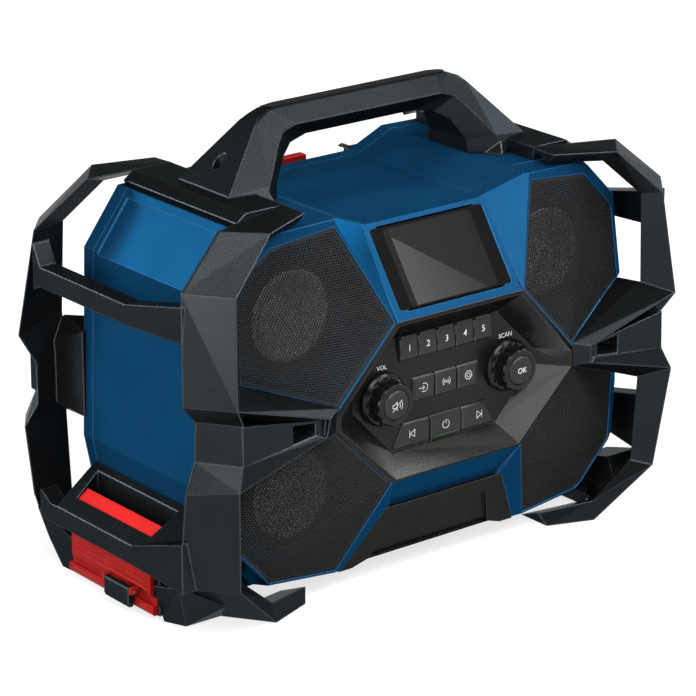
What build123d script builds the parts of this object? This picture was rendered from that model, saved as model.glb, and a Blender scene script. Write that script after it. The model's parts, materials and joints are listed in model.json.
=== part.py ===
"""Jobsite radio: a faceted blue housing hung inside two black guard frames, with a carry handle.

Millimetres. +X is the user's right, +Y points to the back and +Z up. The origin is on the floor,
under the middle of the radio. Only the right half of a symmetric form is described: `both`
adds its mirror image.
"""

from build123d import *
import os
from itertools import combinations
from math import atan2, cos, pi, sin

# ---------------------------------------------------------------- driving dimensions

WALL = 3.0                      # housing wall
FIT = 0.3                       # gap between pieces that move past each other
SPLIT_Y = 58.0                  # where the rear cover meets the front housing
BACK_Y = 72.0                   # rear face of the rear cover
BODY_FRONT_Y = -64.0            # where the four speaker pods stand on the tub
BAFFLE_Y = -70.0                # front face of the board that carries the speakers
FLOOR_Z = 14.0                  # underside of the housing

GRILLE_INSET = 1.0              # grille face below the pod's rim
GRILLE_SKIN = 1.4
GRILLE_LEDGE = 3.5

SPEAKER_X = 110.0
SPEAKER_Z = {"upper": 201.0, "lower": 76.0}
SPEAKER_R = 39.0                # outside radius of a driver's frame
SPEAKER_BORE_R = 35.0
MAGNET_R = 22.0

PLATE_Y = -99.5                 # front of the console plate
PLATE_BACK_Y = -96.5
MASK_BACK_Y = -88.0             # rear face of the console mask
KEY_FOOT_Y = -100.2             # where a key's chamfers start
KEY_FACE_Y = -101.7
KEY_BACK_Y = -95.4
KEY_GAP = 0.7                   # between neighbours in a row
KEY_CHAMFER = 2.9
MAT_Y = (-94.2, -92.7)          # rubber key mat
BOARD_Y = (-92.7, -91.1)        # control board

KNOB_X = 54.5
KNOB_Z = 138.0
KNOB_R = 18.5                   # skirt
CROWN_R = 14.6                  # fluted grip
KNOB_Y = (-115.5, -99.9)
FLUTES = 12
CAP_R = 10.3
CAP_Y = (-116.8, -109.0)
SHAFT_R = 3.0

WINDOW = (97.0, 57.8)           # black bezel, across and up the slope
ACTIVE = (71.0, 51.5)           # picture area
GLASS = (75.0, 55.0)

SIDE_X = 209.0                  # outer face of the guard frames
BAR_IN_X = 196.0                # inner face of their long bars
RAIL_Z = 274.1                  # top of the rails, where the handle stands

HANDLE_Y = -3.3                 # the handle's own middle plane
HANDLE_SCREW = (113.0, 1.6)      # x, and y from the handle's middle plane
SCREW_HEAD_R = 4.0
SCREW_SHANK_R = 2.4

DOOR_Y = (-43.0, 49.0)
DOOR_LOW_Z = 17.2
DOOR_X = (201.0, 204.6)
DOOR_PIN = (202.8, 32.6)        # x, z of the side door's hinge
DOOR_BARREL_R = 1.8             # rolled top edge round the pin
LATCH_Y = (-26.0, 2.0)
LATCH_PIN = (208.4, 16.4)       # x, z of the latch's pin
PIN_R = 1.1

BAY_X = 44.0                    # half width of the battery bay
BAY_Z = (74.0, 236.0)
HATCH_X = 50.0
HATCH_Z = (64.0, 243.0)
HATCH_Y = (BACK_Y + FIT, 80.0)
HATCH_PIN = (78.0, 60.0)        # y, z of the battery door's hinge
LUG_R = 3.2

ROD_X = 62.0                    # rod antenna, folded down behind the housing
ROD_Y = 86.0
ROD_Z = 246.0
ROD_LENGTH = 150.0


# ---------------------------------------------------------------- small tools


def convex(points):
    """The smallest convex block that holds the given corner points, with flat faces."""
    corners = [Vector(*p) for p in points]
    sides = {}
    for i, j, k in combinations(range(len(corners)), 3):
        normal = (corners[j] - corners[i]).cross(corners[k] - corners[i])
        if normal.length < 1e-6:
            continue
        normal = normal.normalized()
        heights = [(c - corners[i]).dot(normal) for c in corners]
        if max(heights) > 1e-4 and min(heights) < -1e-4:
            continue
        flat = frozenset(n for n, h in enumerate(heights) if abs(h) <= 1e-4)
        sides[flat] = normal
    faces = []
    for flat, normal in sides.items():
        ring = [corners[n] for n in flat]
        middle = sum(ring, Vector(0, 0, 0)) * (1 / len(ring))
        across = (ring[0] - middle).normalized()
        up = normal.cross(across)
        ring.sort(key=lambda c: atan2((c - middle).dot(up), (c - middle).dot(across)))
        faces.append(Face(Wire.make_polygon(outline_only(ring), close=True)))
    block = Solid(Shell(faces))
    return Part(block.wrapped) if block.volume > 0 else Part((-block).wrapped)


def outline_only(ring):
    """Leaves out the points of a ring that lie on a straight stretch or inside it."""
    kept = []
    for n, point in enumerate(ring):
        before = ring[n - 1]
        after = ring[(n + 1) % len(ring)]
        if (point - before).cross(after - point).length > 1e-6:
            kept.append(point)
    return kept


def both(piece):
    """A right-hand piece together with its mirror image."""
    return piece + mirror(piece, about=Plane.YZ)


def left(piece):
    return mirror(piece, about=Plane.YZ)


def block(x, y, z):
    """A box between two limits on each axis."""
    size = (x[1] - x[0], y[1] - y[0], z[1] - z[0])
    middle = ((x[0] + x[1]) / 2, (y[0] + y[1]) / 2, (z[0] + z[1]) / 2)
    return Pos(*middle) * Box(*size)


def slab(outline, y_front, y_back):
    """An outline seen from the front, (x, z) points, carried from y_front to y_back."""
    face = Face(Wire.make_polygon([Vector(x, y_front, z) for x, z in outline], close=True))
    return extrude(face, amount=y_back - y_front, dir=(0, 1, 0))


def drum(x, z, radius, y_front, y_back):
    """A cylinder whose axis runs front to back."""
    length = y_back - y_front
    return Pos(x, (y_front + y_back) / 2, z) * Rot(90, 0, 0) * Cylinder(radius, length)


def shift(point, dx=0.0, dy=0.0, dz=0.0):
    return (point[0] + dx, point[1] + dy, point[2] + dz)


def behind(piece, a, b, c, inset=0.0):
    """Keeps what lies behind the plane through three points, moved back by inset."""
    normal = (Vector(*b) - Vector(*a)).cross(Vector(*c) - Vector(*a)).normalized()
    if normal.Y > 0:
        normal = normal * -1
    plane = Plane(origin=Vector(*a) - normal * inset, z_dir=normal)
    return split(piece, bisect_by=plane, keep=Keep.BOTTOM)


def shrink(outline, amount):
    """An outline moved in by amount all round."""
    moved = []
    count = len(outline)
    area = sum(
        outline[n][0] * outline[(n + 1) % count][1] - outline[(n + 1) % count][0] * outline[n][1]
        for n in range(count)
    )
    turn = 1 if area > 0 else -1
    for n in range(count):
        before, here, after = outline[n - 1], outline[n], outline[(n + 1) % count]
        first = Vector(here[0] - before[0], here[1] - before[1]).normalized()
        second = Vector(after[0] - here[0], after[1] - here[1]).normalized()
        inward_1 = Vector(-first.Y, first.X) * turn
        inward_2 = Vector(-second.Y, second.X) * turn
        bisector = (inward_1 + inward_2).normalized()
        reach = amount / bisector.dot(inward_1)
        moved.append((here[0] + bisector.X * reach, here[1] + bisector.Y * reach))
    return moved


# ---------------------------------------------------------------- named corners, right side

# Bezel round the display.
BEZEL_TOP = (52.3, -76.0, 251.9)
BEZEL_LOW = (55.3, -115.7, 195.4)

# Upper grille, clockwise from its inner top corner.
UP_IN = (84.7, -87.9, 260.2)
UP_OUT = (135.2, -85.4, 254.6)
UP_SIDE_TOP = (172.0, -76.0, 223.0)
UP_SIDE_LOW = (172.0, -83.0, 172.0)
UP_EAR = (148.4, -95.2, 164.1)
UP_TIP = (101.9, -114.0, 146.5)
SHOULDER = (82.0, -84.8, 264.9)

# Lower grille.
LOW_TIP = (103.6, -113.7, 130.0)
LOW_SIDE = (172.0, -80.0, 102.0)
LOW_OUT = (164.9, -85.3, 53.1)
LOW_FOOT_OUT = (136.4, -83.7, 21.9)
LOW_FOOT_IN = (83.2, -87.1, 18.1)
LOW_IN = (56.5, -114.0, 83.0)
SKIRT_TOP = (51.0, -100.7, 59.1)

# Console: the mask's ridge, and the corners of the flat plate at the bottom of its dish.
RIDGE_UP = (103.5, -113.7, 141.5)
RIDGE_LOW = (104.0, -113.7, 130.2)
PLATE = [(44.8, 178.0), (79.0, 144.4), (79.0, 132.8), (45.6, 98.0)]

UPPER_PLANES = [
    (BEZEL_TOP, SHOULDER, BEZEL_LOW),
    (UP_IN, UP_OUT, BEZEL_LOW),
    (UP_OUT, BEZEL_LOW, UP_TIP),
    (UP_SIDE_TOP, UP_SIDE_LOW, UP_TIP),
]
LOWER_PLANES = [
    (LOW_TIP, LOW_OUT, LOW_IN),
    (LOW_TIP, LOW_SIDE, LOW_OUT),
    (LOW_IN, LOW_FOOT_IN, LOW_FOOT_OUT),
    (LOW_IN, LOW_FOOT_IN, SKIRT_TOP),
]

# The pods' flanks, which run back and out from a narrow rim to the edge of the tub.
LOWER_FLANKS = [
    (shift(LOW_OUT, dx=1.3, dz=-1.2), shift(LOW_FOOT_OUT, dx=1.3, dz=-1.2),
     (156.0, BODY_FRONT_Y, 31.0)),
    (shift(LOW_FOOT_OUT, dz=-1.8), shift(LOW_FOOT_IN, dz=-1.8), (110.0, BODY_FRONT_Y, FLOOR_Z)),
]

# Outlines seen from the front.
UPPER_POD = [(50, 252), (82, 265), (138, 262.5), (174, 231), (176.5, 174), (150, 158),
             (103.5, 143), (55.3, 195.4)]
LOWER_POD = [(103.5, 134), (178, 108), (178.5, 92), (170, 50), (140, 16), (82, FLOOR_Z),
             (50, FLOOR_Z), (48, 59), (56.5, 84)]
UPPER_GRILLE = [(84.7, 260.2), (135.2, 254.6), (170, 224), (172, 172), (148.4, 164.1),
                (101.9, 146.5), (56.5, 195.4)]
LOWER_GRILLE = [(103.6, 130), (172, 102), (164.9, 53.1), (136.4, 21.9), (83.2, 18.1),
                (57, 83)]
TUB = [(0, 252), (52, 252), (82, 265), (146, 263.5), (174.5, 225.5), (179, 92), (170, 48),
       (142, FLOOR_Z), (0, FLOOR_Z)]


def mirrored(outline):
    """A closed outline from its right half, whose first and last points are on the middle."""
    return outline + [(-x, z) for x, z in reversed(outline) if x > 0]


def gem(outline, planes, inset=0.0):
    """A speaker pod: an outline carried back, its front cut by facets."""
    piece = slab(outline, -135, BODY_FRONT_Y)
    for a, b, c in planes:
        piece = behind(piece, a, b, c, inset)
    return piece


# ---------------------------------------------------------------- housing


def pod(outline, grille, planes, flanks=()):
    """A pod with the seat for its grille and the hollow behind it."""
    solid = gem(outline, [*planes, *flanks])
    seat = slab(grille, -140, BODY_FRONT_Y) - gem(grille, planes, GRILLE_INSET + GRILLE_SKIN)
    hollow = slab(shrink(grille, GRILLE_LEDGE), -140, BAFFLE_Y)
    return solid - seat - hollow


def centre_core():
    """The part of the housing between the pods, from under the display down to the skirt."""
    side = [(BODY_FRONT_Y, 252), (-76, 252), (-115.7, 195.4), (-113.5, 83), (-98, 60),
            (-82, FLOOR_Z), (BODY_FRONT_Y, FLOOR_Z)]
    face = Face(Wire.make_polygon([Vector(-54, y, z) for y, z in side], close=True))
    return extrude(face, amount=108, dir=(1, 0, 0))


def housing_shell():
    tub = slab(mirrored(TUB), BODY_FRONT_Y, SPLIT_Y)
    hollow = slab(shrink(mirrored(TUB), WALL), BODY_FRONT_Y + WALL, SPLIT_Y)
    pods = (pod(UPPER_POD, UPPER_GRILLE, UPPER_PLANES)
            + pod(LOWER_POD, LOWER_GRILLE, LOWER_PLANES, LOWER_FLANKS))
    shell = tub - hollow + both(pods) + centre_core()
    for z in SPEAKER_Z.values():
        for x in (-SPEAKER_X, SPEAKER_X):
            shell -= drum(x, z, SPEAKER_BORE_R, -90, 0)
    core_hollow = block((-46, 46), (-84, BODY_FRONT_Y + 5), (40, 226))
    return shell - core_hollow - both(shoulder_panel())


def shoulder_panel():
    """The shallow panel sunk into the facet on a shoulder, open at its lower edge."""
    top, low = Vector(*TUB[3]), Vector(*TUB[4])
    along = (low - top).normalized()
    out = Vector(-along.Y, along.X)
    ends = [top + along * 6.0, low + along * 2.0]
    corners = [end + out * depth for end in ends for depth in (-1.0, 4.0)]
    return convex([(c.X, y, c.Y) for c in corners for y in (-60.0, 53.0)])


def rear_outer():
    """The rear cover's outside: a straight wall, then a narrow bevel in to the back."""
    bevelled = shrink(mirrored(TUB), 3.0)
    return loft([face_at(mirrored(TUB), SPLIT_Y), face_at(mirrored(TUB), BACK_Y - 3),
                 face_at(bevelled, BACK_Y)], ruled=True)


def rear_shell():
    return rear_outer() - slab(shrink(mirrored(TUB), WALL + 3), SPLIT_Y, BACK_Y - WALL)


def face_at(outline, y):
    return Face(Wire.make_polygon([Vector(x, y, z) for x, z in outline], close=True))


# ---------------------------------------------------------------- guard frames

# Stations round each hoop: front ridge, outer edge and inner edge of a three-cornered section.
FRONT_HOOP = [
    ((107.3, -85.8, 273.5), (107.3, -62.0, 274.0), (107.4, -79.9, 266.3)),
    ((148.5, -104.6, 272.7), (171.2, -78.3, 271.9), (147.0, -92.0, 263.4)),
    ((183.8, -114.6, 239.1), (207.3, -87.2, 240.2), (174.0, -102.5, 237.0)),
    ((190.3, -123.4, 167.1), (211.0, -92.0, 166.0), (174.5, -104.0, 173.5)),
    ((181.6, -117.9, 153.6), (200.0, -90.0, 153.0), (172.0, -98.0, 153.0)),
    ((183.0, -118.6, 126.7), (201.0, -90.0, 126.0), (172.0, -98.0, 127.0)),
    ((189.0, -123.0, 111.5), (209.0, -90.5, 105.0), (174.0, -104.5, 103.0)),
    ((182.6, -114.2, 37.2), (204.0, -75.0, 33.0), (173.5, -100.5, 39.0)),
    ((142.0, -98.2, 0.0), (164.6, -66.5, 0.0), (143.0, -95.0, 13.5)),
    ((108.3, -85.8, 0.0), (108.3, -58.0, 0.0), (103.9, -80.3, 9.5)),
]
REAR_HOOP = [
    ((107.3, 80.5, 273.0), (107.3, 60.0, 274.0), (107.4, 75.0, 266.3)),
    ((149.0, 95.0, 272.0), (171.0, 68.0, 272.0), (147.0, 84.0, 263.0)),
    ((183.8, 108.7, 238.0), (207.3, 80.0, 240.0), (174.0, 94.0, 237.5)),
    ((192.0, 123.4, 156.0), (210.5, 98.0, 162.0), (174.5, 98.0, 172.0)),
    ((183.0, 119.6, 141.0), (200.0, 93.0, 141.0), (172.0, 96.0, 141.0)),
    ((183.0, 120.2, 112.0), (200.0, 93.0, 112.0), (172.0, 96.0, 112.0)),
    ((190.5, 123.4, 93.0), (208.5, 97.0, 96.0), (174.0, 97.0, 100.0)),
    ((185.0, 120.0, 48.0), (206.0, 92.0, 48.0), (174.0, 93.0, 43.0)),
    ((182.0, 112.0, 15.0), (204.0, 78.0, 20.0), (166.0, 88.0, 30.0)),
    ((142.0, 98.0, 0.0), (165.0, 66.0, 0.0), (141.0, 93.0, 13.5)),
    ((108.3, 86.0, 0.0), (108.3, 58.0, 0.0), (104.0, 80.0, 9.5)),
]
RAIL_SECTION = [(107.9, 262.0), (107.9, RAIL_Z), (138.0, RAIL_Z), (146.0, 268.3), (143.0, 262.0)]
ARM_TIP = (114.3, -120.8, 143.8)
ARM_LOW_TIP = (115.5, -119.0, 130.5)


def hoop(stations):
    """A guard hoop: one convex length between each two stations."""
    lengths = [convex([*a, *b]) for a, b in zip(stations, stations[1:])]
    return fused(lengths)


def fused(pieces):
    whole = pieces[0]
    for piece in pieces[1:]:
        whole = whole + piece
    return whole


def bar(stations):
    """A bar along the side: (y, lowest z, highest z) at each station."""
    lengths = []
    for (y_a, low_a, high_a), (y_b, low_b, high_b) in zip(stations, stations[1:]):
        ends = [(y_a, low_a), (y_a, high_a), (y_b, low_b), (y_b, high_b)]
        lengths.append(convex([(x, y, z) for x in (BAR_IN_X, SIDE_X) for y, z in ends]))
    return fused(lengths)


def rail():
    """The top rail that carries one foot of the handle."""
    return convex([(x, y, z) for y in (BODY_FRONT_Y, 62.0) for x, z in RAIL_SECTION])


def front_arms():
    """The two arms from the console out to the hoop, and the waist plate between them."""
    back_y = -84.0
    upper = convex([RIDGE_UP, ARM_TIP, FRONT_HOOP[3][0], FRONT_HOOP[3][2], (107.0, -115.5, 145.5),
                    UP_TIP, UP_EAR, (172, -84, 172), (104, back_y, 146), (150, back_y, 160),
                    (184, -98, 153), (114, -112, 141)])
    waist = convex([(112, -116.2, 142), (183, -117.9, 153.6), (183, -118.6, 126.7),
                    (112, -116.2, 130), (112, back_y, 142), (176, back_y, 150),
                    (176, back_y, 126), (112, back_y, 130)])
    lower = convex([RIDGE_LOW, ARM_LOW_TIP, FRONT_HOOP[6][0], (183, -118.6, 126.7),
                    (121, -117.2, 133), FRONT_HOOP[6][2], (104, back_y, 131), (172, back_y, 104),
                    (176, back_y, 126), (112, back_y, 133)])
    root = convex([RIDGE_UP, ARM_TIP, RIDGE_LOW, ARM_LOW_TIP, (104, back_y, 141),
                   (116, back_y, 141), (104, back_y, 131), (116, back_y, 131)])
    return upper + waist + lower + root - waist_port()


def waist_port():
    """The port between the two arms, with two round beads left standing at its bottom."""
    outline = [(142.1, 144.6), (123.3, 142.2), (123.3, 133.8), (142.1, 131.8)]
    rings = drum(142.1, 144.6, 8.8, -108, -100) - drum(142.1, 144.6, 7.2, -108, -100)
    return slab(outline, -125, -104) - rings - drum(142.1, 144.6, 3.6, -108, -100)


def rear_arms():
    """The rear of the waist: a plain bracket from the housing back to the rear hoop."""
    return convex([(130, 70, 165), (180, 66, 167), (180, 66, 106), (130, 70, 106),
                   (176, 100, 166), (176, 100, 106), (186, 122, 141), (186, 122, 112),
                   (130, 108, 141), (130, 108, 112), (174, 96, 170), (174, 97, 101)])


def side_frame():
    """Hoops, rail, mid bar, arms and feet, which both sides share."""
    mid_bar = bar([(-90, 207, 232), (-27, 203.5, 217.5), (71, 203.5, 217.5), (79, 200, 233)])
    bottom_rail = convex([(x, s * y, z) for s in (1, -1) for x, y in [(150, 80), (164.7, 66)]
                          for z in (3, 12)])
    front_foot = convex([(204, -75, 33), (203, -45, 25), (199, -50.4, 0), (192.5, -66, 0),
                         (164.7, -66.5, 0), (165, -48, 0), (176, -45, 25), (176, -75, 33),
                         (168, -90, 20)])
    rear_foot = convex([(204, 78, 20), (206, 88, 40), (203, 42, 25), (200, 68, 0), (199, 54, 0),
                        (199, 42, 9), (165, 66, 0), (165, 52, 0), (172, 42, 25), (172, 82, 36),
                        (188, 97, 32)])
    return fused([hoop(FRONT_HOOP), hoop(REAR_HOOP), rail(), mid_bar, bottom_rail,
                  front_foot, rear_foot, front_arms(), rear_arms()])


def right_frame():
    low_bar = bar([(-82, 36, 78), (-27, 46, 66), (71, 46, 66), (82, 40, 78)])
    return side_frame() + low_bar


def left_frame():
    low_bar = bar([(-86, 34, 69), (-27, 36, 49.5), (68, 36, 49.5), (79, 36, 56)])
    panel_top = [(176.0, 74.5), (SIDE_X, 49.5), (SIDE_X, 44.0), (176.0, 69.0)]
    panel = convex([(x, y, z) for y in (-66.0, 60.0) for x, z in panel_top])
    return left(side_frame() + low_bar + panel)


# ---------------------------------------------------------------- handle


def handle_bar():
    """Two splayed legs and a grip with a keel under it, opened out towards front and back."""
    arch = convex([(s * x, t * y, z) for s in (1, -1) for t in (1, -1) for x, y, z in [
        (128.0, 28.3, RAIL_Z), (107.9, 33.0, 265.2), (98.0, 33.7, 278.4), (93.8, 42.0, 265.2),
        (91.0, 8.7, 313.0), (86.0, 5.7, 317.2), (77.0, 5.7, 320.3), (66.0, 5.7, 320.9),
        (62.5, 16.1, 310.3), (75.0, 16.3, 305.6)]])
    keel = [(46.0, 4.7, 298.5), (62.0, 8.7, 296.0), (72.0, 14.7, 290.0), (82.0, 20.2, 275.0),
            (84.0, 22.7, 258.0)]
    flare = [(70.7, 22.0, 316.2), (79.6, 20.1, 311.0), (106.0, 40.4, 280.1), (97.0, 49.0, 258.0)]
    window = convex([(s * x, t * y, z) for s in (1, -1) for t in (1, -1) for x, y, z in keel])
    for t in (1, -1):
        window += convex([(s * x, t * y, z) for s in (1, -1) for x, y, z in keel + flare])
    under_rail = block((107.9, 150), (-60, 60), (250, RAIL_Z))
    bore = (upright(*HANDLE_SCREW, SCREW_HEAD_R + 0.4, 279.0, 320.0)
            + upright(*HANDLE_SCREW, SCREW_SHANK_R, 260.0, 290.0))
    arch = arch - window - both(under_rail) - both(bore) - grip_bed()
    return Pos(0, HANDLE_Y, 0) * arch


def upright(x, y, radius, z_low, z_high):
    return Pos(x, y, (z_low + z_high) / 2) * Cylinder(radius, z_high - z_low)


def grip_bed():
    """The shallow channel along the top of the grip that takes the soft overlay."""
    return convex([(s * x, y, z) for s in (1, -1) for x, y, z in [
        (70.0, -4.2, 317.6), (70.0, 30.0, 303.0), (70.0, -4.2, 330.0), (70.0, 30.0, 330.0),
        (86.0, -4.2, 330.0), (86.0, 30.0, 330.0)]])


def handle_grip():
    """Soft overlay in the channel, its ends following the corner of the arch."""
    pad = convex([(s * x, y, z) for s in (1, -1) for x, y, z in [
        (70.3, -3.9, 316.0), (70.3, 16.6, 306.0), (79.0, -3.9, 321.8), (77.0, 5.5, 320.6),
        (66.0, 5.6, 321.6), (66.0, -3.9, 322.2), (73.0, 17.0, 309.6)]])
    return Pos(0, HANDLE_Y, 0) * (pad - (pad - grip_bed()))


def handle_screws():
    """One socket screw sunk in each leg, down into the rail."""
    head = upright(*HANDLE_SCREW, SCREW_HEAD_R, 279.0, 283.0)
    socket = upright(*HANDLE_SCREW, 2.2, 281.0, 284.0)
    shank = upright(*HANDLE_SCREW, SCREW_SHANK_R - 0.1, 268.0, 279.0)
    return Pos(0, HANDLE_Y, 0) * both(head - socket + shank)


# ---------------------------------------------------------------- console


MASK_RIM = [BEZEL_LOW, RIDGE_UP, RIDGE_LOW, LOW_IN]
MASK_RIDGE = [(52.8, -116.4, 193.0), (100.6, -115.2, 141.3), (101.0, -115.2, 130.4),
              (54.3, -115.4, 85.2)]


def mask_body():
    back = [(x, MASK_BACK_Y, z) for x, y, z in MASK_RIM]
    return convex([(s * x, y, z) for s in (1, -1) for x, y, z in MASK_RIM + MASK_RIDGE + back])


# Key rows: half the row's width at its foot and at its head, its lowest and highest z.
PRESET_ROW = (39.9, 39.9, 160.8, 177.6)
MODE_ROW = (28.75, 28.75, 130.2, 147.2)
TRANSPORT_ROW = (45.0, 36.6, 99.4, 116.6)
PRESETS = [f"preset_key_{n}" for n in range(1, 6)]


def row_outline(row):
    foot, head, low, high = row
    return [(-foot, low), (foot, low), (head, high), (-head, high)]


def key_outlines():
    """Every key of the console: its name and its outline, from low left round to high left."""
    keys = {}
    pitch = 2 * PRESET_ROW[0] / 5 + KEY_GAP / 5
    for n, name in enumerate(PRESETS):
        keys[name] = tile((n - 2) * pitch, pitch - KEY_GAP, PRESET_ROW)
    pitch = 2 * MODE_ROW[0] / 3 + KEY_GAP / 3
    for n, name in enumerate(("source_key", "pairing_key", "settings_key")):
        keys[name] = tile((n - 1) * pitch, pitch - KEY_GAP, MODE_ROW)
    keys["power_key"] = tile(0.0, 26.8, TRANSPORT_ROW)
    foot, head, low, high = TRANSPORT_ROW
    inner = 13.4 + KEY_GAP
    keys["next_key"] = [(inner, low), (foot, low), (head, high), (inner, high)]
    keys["previous_key"] = [(-foot, low), (-inner, low), (-inner, high), (-head, high)]
    return keys


def tile(x, width, row):
    low, high = row[2:]
    return [(x - width / 2, low), (x + width / 2, low), (x + width / 2, high),
            (x - width / 2, high)]


def key_stem(outline):
    """The key below its chamfers, with a lip above and below that keeps it behind the plate."""
    stem = slab(outline, KEY_FOOT_Y, KEY_BACK_Y)
    for lip in (-1.2, 1.2):
        stem += slab([(x, z + lip) for x, z in outline], KEY_BACK_Y - 1.0, KEY_BACK_Y)
    return stem


def raised_key(outline, first=0.5, last=0.5):
    """A flat-faced key with a wide chamfer along its head and the given ones at its ends."""
    insets = [(first, 0.5), (-last, 0.5), (-last, -KEY_CHAMFER), (first, -KEY_CHAMFER)]
    foot = [(x, KEY_FOOT_Y, z) for x, z in outline]
    face = [(x + dx, KEY_FACE_Y, z + dz) for (x, z), (dx, dz) in zip(outline, insets)]
    return key_stem(outline) + convex(foot + face)


def scooped_key(outline):
    """A preset key, whose face leans out towards its foot."""
    (x_1, low), (x_2, high) = outline[0], outline[2]
    foot = [(x, KEY_FOOT_Y, z) for x, z in outline]
    face = [(x_1 + 0.4, KEY_FACE_Y, low + 1.2), (x_2 - 0.4, KEY_FACE_Y, low + 1.2),
            (x_2 - 0.4, KEY_FOOT_Y - 0.2, high - 0.4), (x_1 + 0.4, KEY_FOOT_Y - 0.2, high - 0.4)]
    return key_stem(outline) + convex(foot + face)


def keys():
    """All keys, each with its own chamfers."""
    outlines = key_outlines()
    pieces = {name: scooped_key(outlines.pop(name)) for name in PRESETS}
    ends = {"source_key": (KEY_CHAMFER, 0.5), "settings_key": (0.5, KEY_CHAMFER),
            "previous_key": (KEY_CHAMFER, 0.5), "next_key": (0.5, KEY_CHAMFER)}
    for name, outline in outlines.items():
        pieces[name] = raised_key(outline, *ends.get(name, (0.5, 0.5)))
    light_slot = block((-10.5, 10.5), (KEY_FACE_Y - 1, KEY_FACE_Y + 0.5), (100.9, 102.1))
    pieces["power_key"] -= light_slot
    return pieces


def console_mask():
    """The black front between the pods: a dished hexagon with the key plate at its bottom."""
    dish = convex([(s * x, y, z) for s in (1, -1) for x, y, z in
                   [shift(p, dy=-6) for p in MASK_RIDGE] + MASK_RIDGE
                   + [(x, PLATE_Y, z) for x, z in PLATE]])
    chamber = slab(mirrored_ring([(46, 181), (80, 145), (80, 131), (46, 95)]),
                   PLATE_BACK_Y, MASK_BACK_Y)
    mask = mask_body() - dish - chamber - both(preset_cheek())
    for row in (PRESET_ROW, MODE_ROW, TRANSPORT_ROW):
        mask -= slab(shrink(row_outline(row), -FIT), -104, PLATE_BACK_Y)
    for x in (-KNOB_X, KNOB_X):
        mask -= drum(x, KNOB_Z, SHAFT_R + 1.2, -104, PLATE_BACK_Y)
    return mask


def preset_cheek():
    """The three-cornered facet that leads down to the end of the preset row."""
    x, low, high = PRESET_ROW[0], PRESET_ROW[2], PRESET_ROW[3]
    return convex([(x - 1, PLATE_Y - 1, low), (x - 1, PLATE_Y - 1, high + FIT),
                   (x + 6.6, PLATE_Y - 1, high + FIT), (x + 6.0, PLATE_Y, high + FIT),
                   (x - 1, PLATE_Y, low), (x - 1, PLATE_Y + 1.8, high + FIT)])


def mirrored_ring(outline):
    return outline + [(-x, z) for x, z in reversed(outline)]


def key_mat():
    """Rubber mat behind the keys, cut out round the two rotary encoders."""
    mat = slab(mirrored_ring([(42, 179.5), (44, 96.5)]), *MAT_Y)
    for outline in key_outlines().values():
        mat += slab(shrink(outline, 4.0), MAT_Y[0] - 0.2, MAT_Y[0])
    for x in (-KNOB_X, KNOB_X):
        mat -= block((x - 9, x + 9), (-100, -80), (KNOB_Z - 9, KNOB_Z + 9))
    return mat


def control_board():
    return slab(mirrored_ring([(45, 180), (78, 144.5), (78, 131.5), (45, 96)]), *BOARD_Y)


def encoder(x):
    """Rotary encoder: its can on the board and the shaft that carries the knob."""
    can = block((x - 7, x + 7), (-96.4, BOARD_Y[0]), (KNOB_Z - 7, KNOB_Z + 7))
    return can + drum(x, KNOB_Z, SHAFT_R, -107.0, -96.4)


def turned(profile, x, z):
    """A solid of revolution about a line that runs front to back; profile is (radius, y)."""
    face = Face(Wire.make_polygon([Vector(r, y, 0) for r, y in profile], close=True))
    return Pos(x, 0, z) * revolve(face, axis=Axis.Y, revolution_arc=360)


def knob(x):
    """Fluted knob on a plain skirt, bored for its shaft and for the push cap in its face."""
    front, back = KNOB_Y
    solid = turned([(SHAFT_R + 0.05, back), (KNOB_R, back), (KNOB_R, back - 2.6),
                    (KNOB_R - 1.6, back - 4.2), (CROWN_R + 0.8, back - 5.2),
                    (CROWN_R + 0.4, front + 1.6), (CROWN_R - 1.0, front),
                    (CAP_R + FIT, front), (CAP_R + FIT, -108.0), (SHAFT_R + 0.05, -107.2)],
                   x, KNOB_Z)
    for n in range(FLUTES):
        turn = 2 * pi * n / FLUTES
        solid -= drum(x + (CROWN_R + 2.4) * cos(turn), KNOB_Z + (CROWN_R + 2.4) * sin(turn),
                      2.9, front - 1, back - 4.4)
    return solid


def push_cap(x):
    """The button in a knob's face."""
    front, back = CAP_Y
    return turned([(0, front), (CAP_R - 1.4, front), (CAP_R, front + 1.2), (CAP_R, back),
                   (0, back)], x, KNOB_Z)


# ---------------------------------------------------------------- display


def slope_plane():
    """A plane on the sloping face over the display: x across, y up the slope, z out of it."""
    foot = Vector(0, BEZEL_LOW[1], BEZEL_LOW[2])
    up = Vector(0, BEZEL_TOP[1] - BEZEL_LOW[1], BEZEL_TOP[2] - BEZEL_LOW[2])
    normal = Vector(1, 0, 0).cross(up.normalized())
    return Plane(origin=foot + up * 0.52, x_dir=(1, 0, 0), z_dir=normal)


def on_slope(width, height, outer, inner, radius=0.0):
    """A rounded plate on the sloping face, from depth outer to depth inner below it."""
    flat = RectangleRounded(width, height, radius) if radius else Rectangle(width, height)
    return slope_plane() * Pos(0, 0, -inner) * extrude(flat, amount=inner - outer)


def display_bezel():
    frame = on_slope(*WINDOW, 0.8, 4.2, 2.5)
    return frame - on_slope(*GLASS, 0, 2.6, 1.5) - on_slope(*ACTIVE, 0, 5, 1.0)


def display_lens():
    return on_slope(GLASS[0] - 0.2, GLASS[1] - 0.2, 1.1, 2.6, 1.5)


def display_module():
    return on_slope(84, 60, 4.2, 8.0, 1.0)


# ---------------------------------------------------------------- grilles and speakers


def grille(outline, planes):
    """A folded sheet that follows the pod's facets."""
    outer = gem(shrink(outline, 0.25), planes, GRILLE_INSET)
    inner = gem(shrink(outline, -1.0), planes, GRILLE_INSET + GRILLE_SKIN)
    sheet = outer - inner
    return Part(max(sheet.solids(), key=lambda s: s.volume).wrapped)


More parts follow.
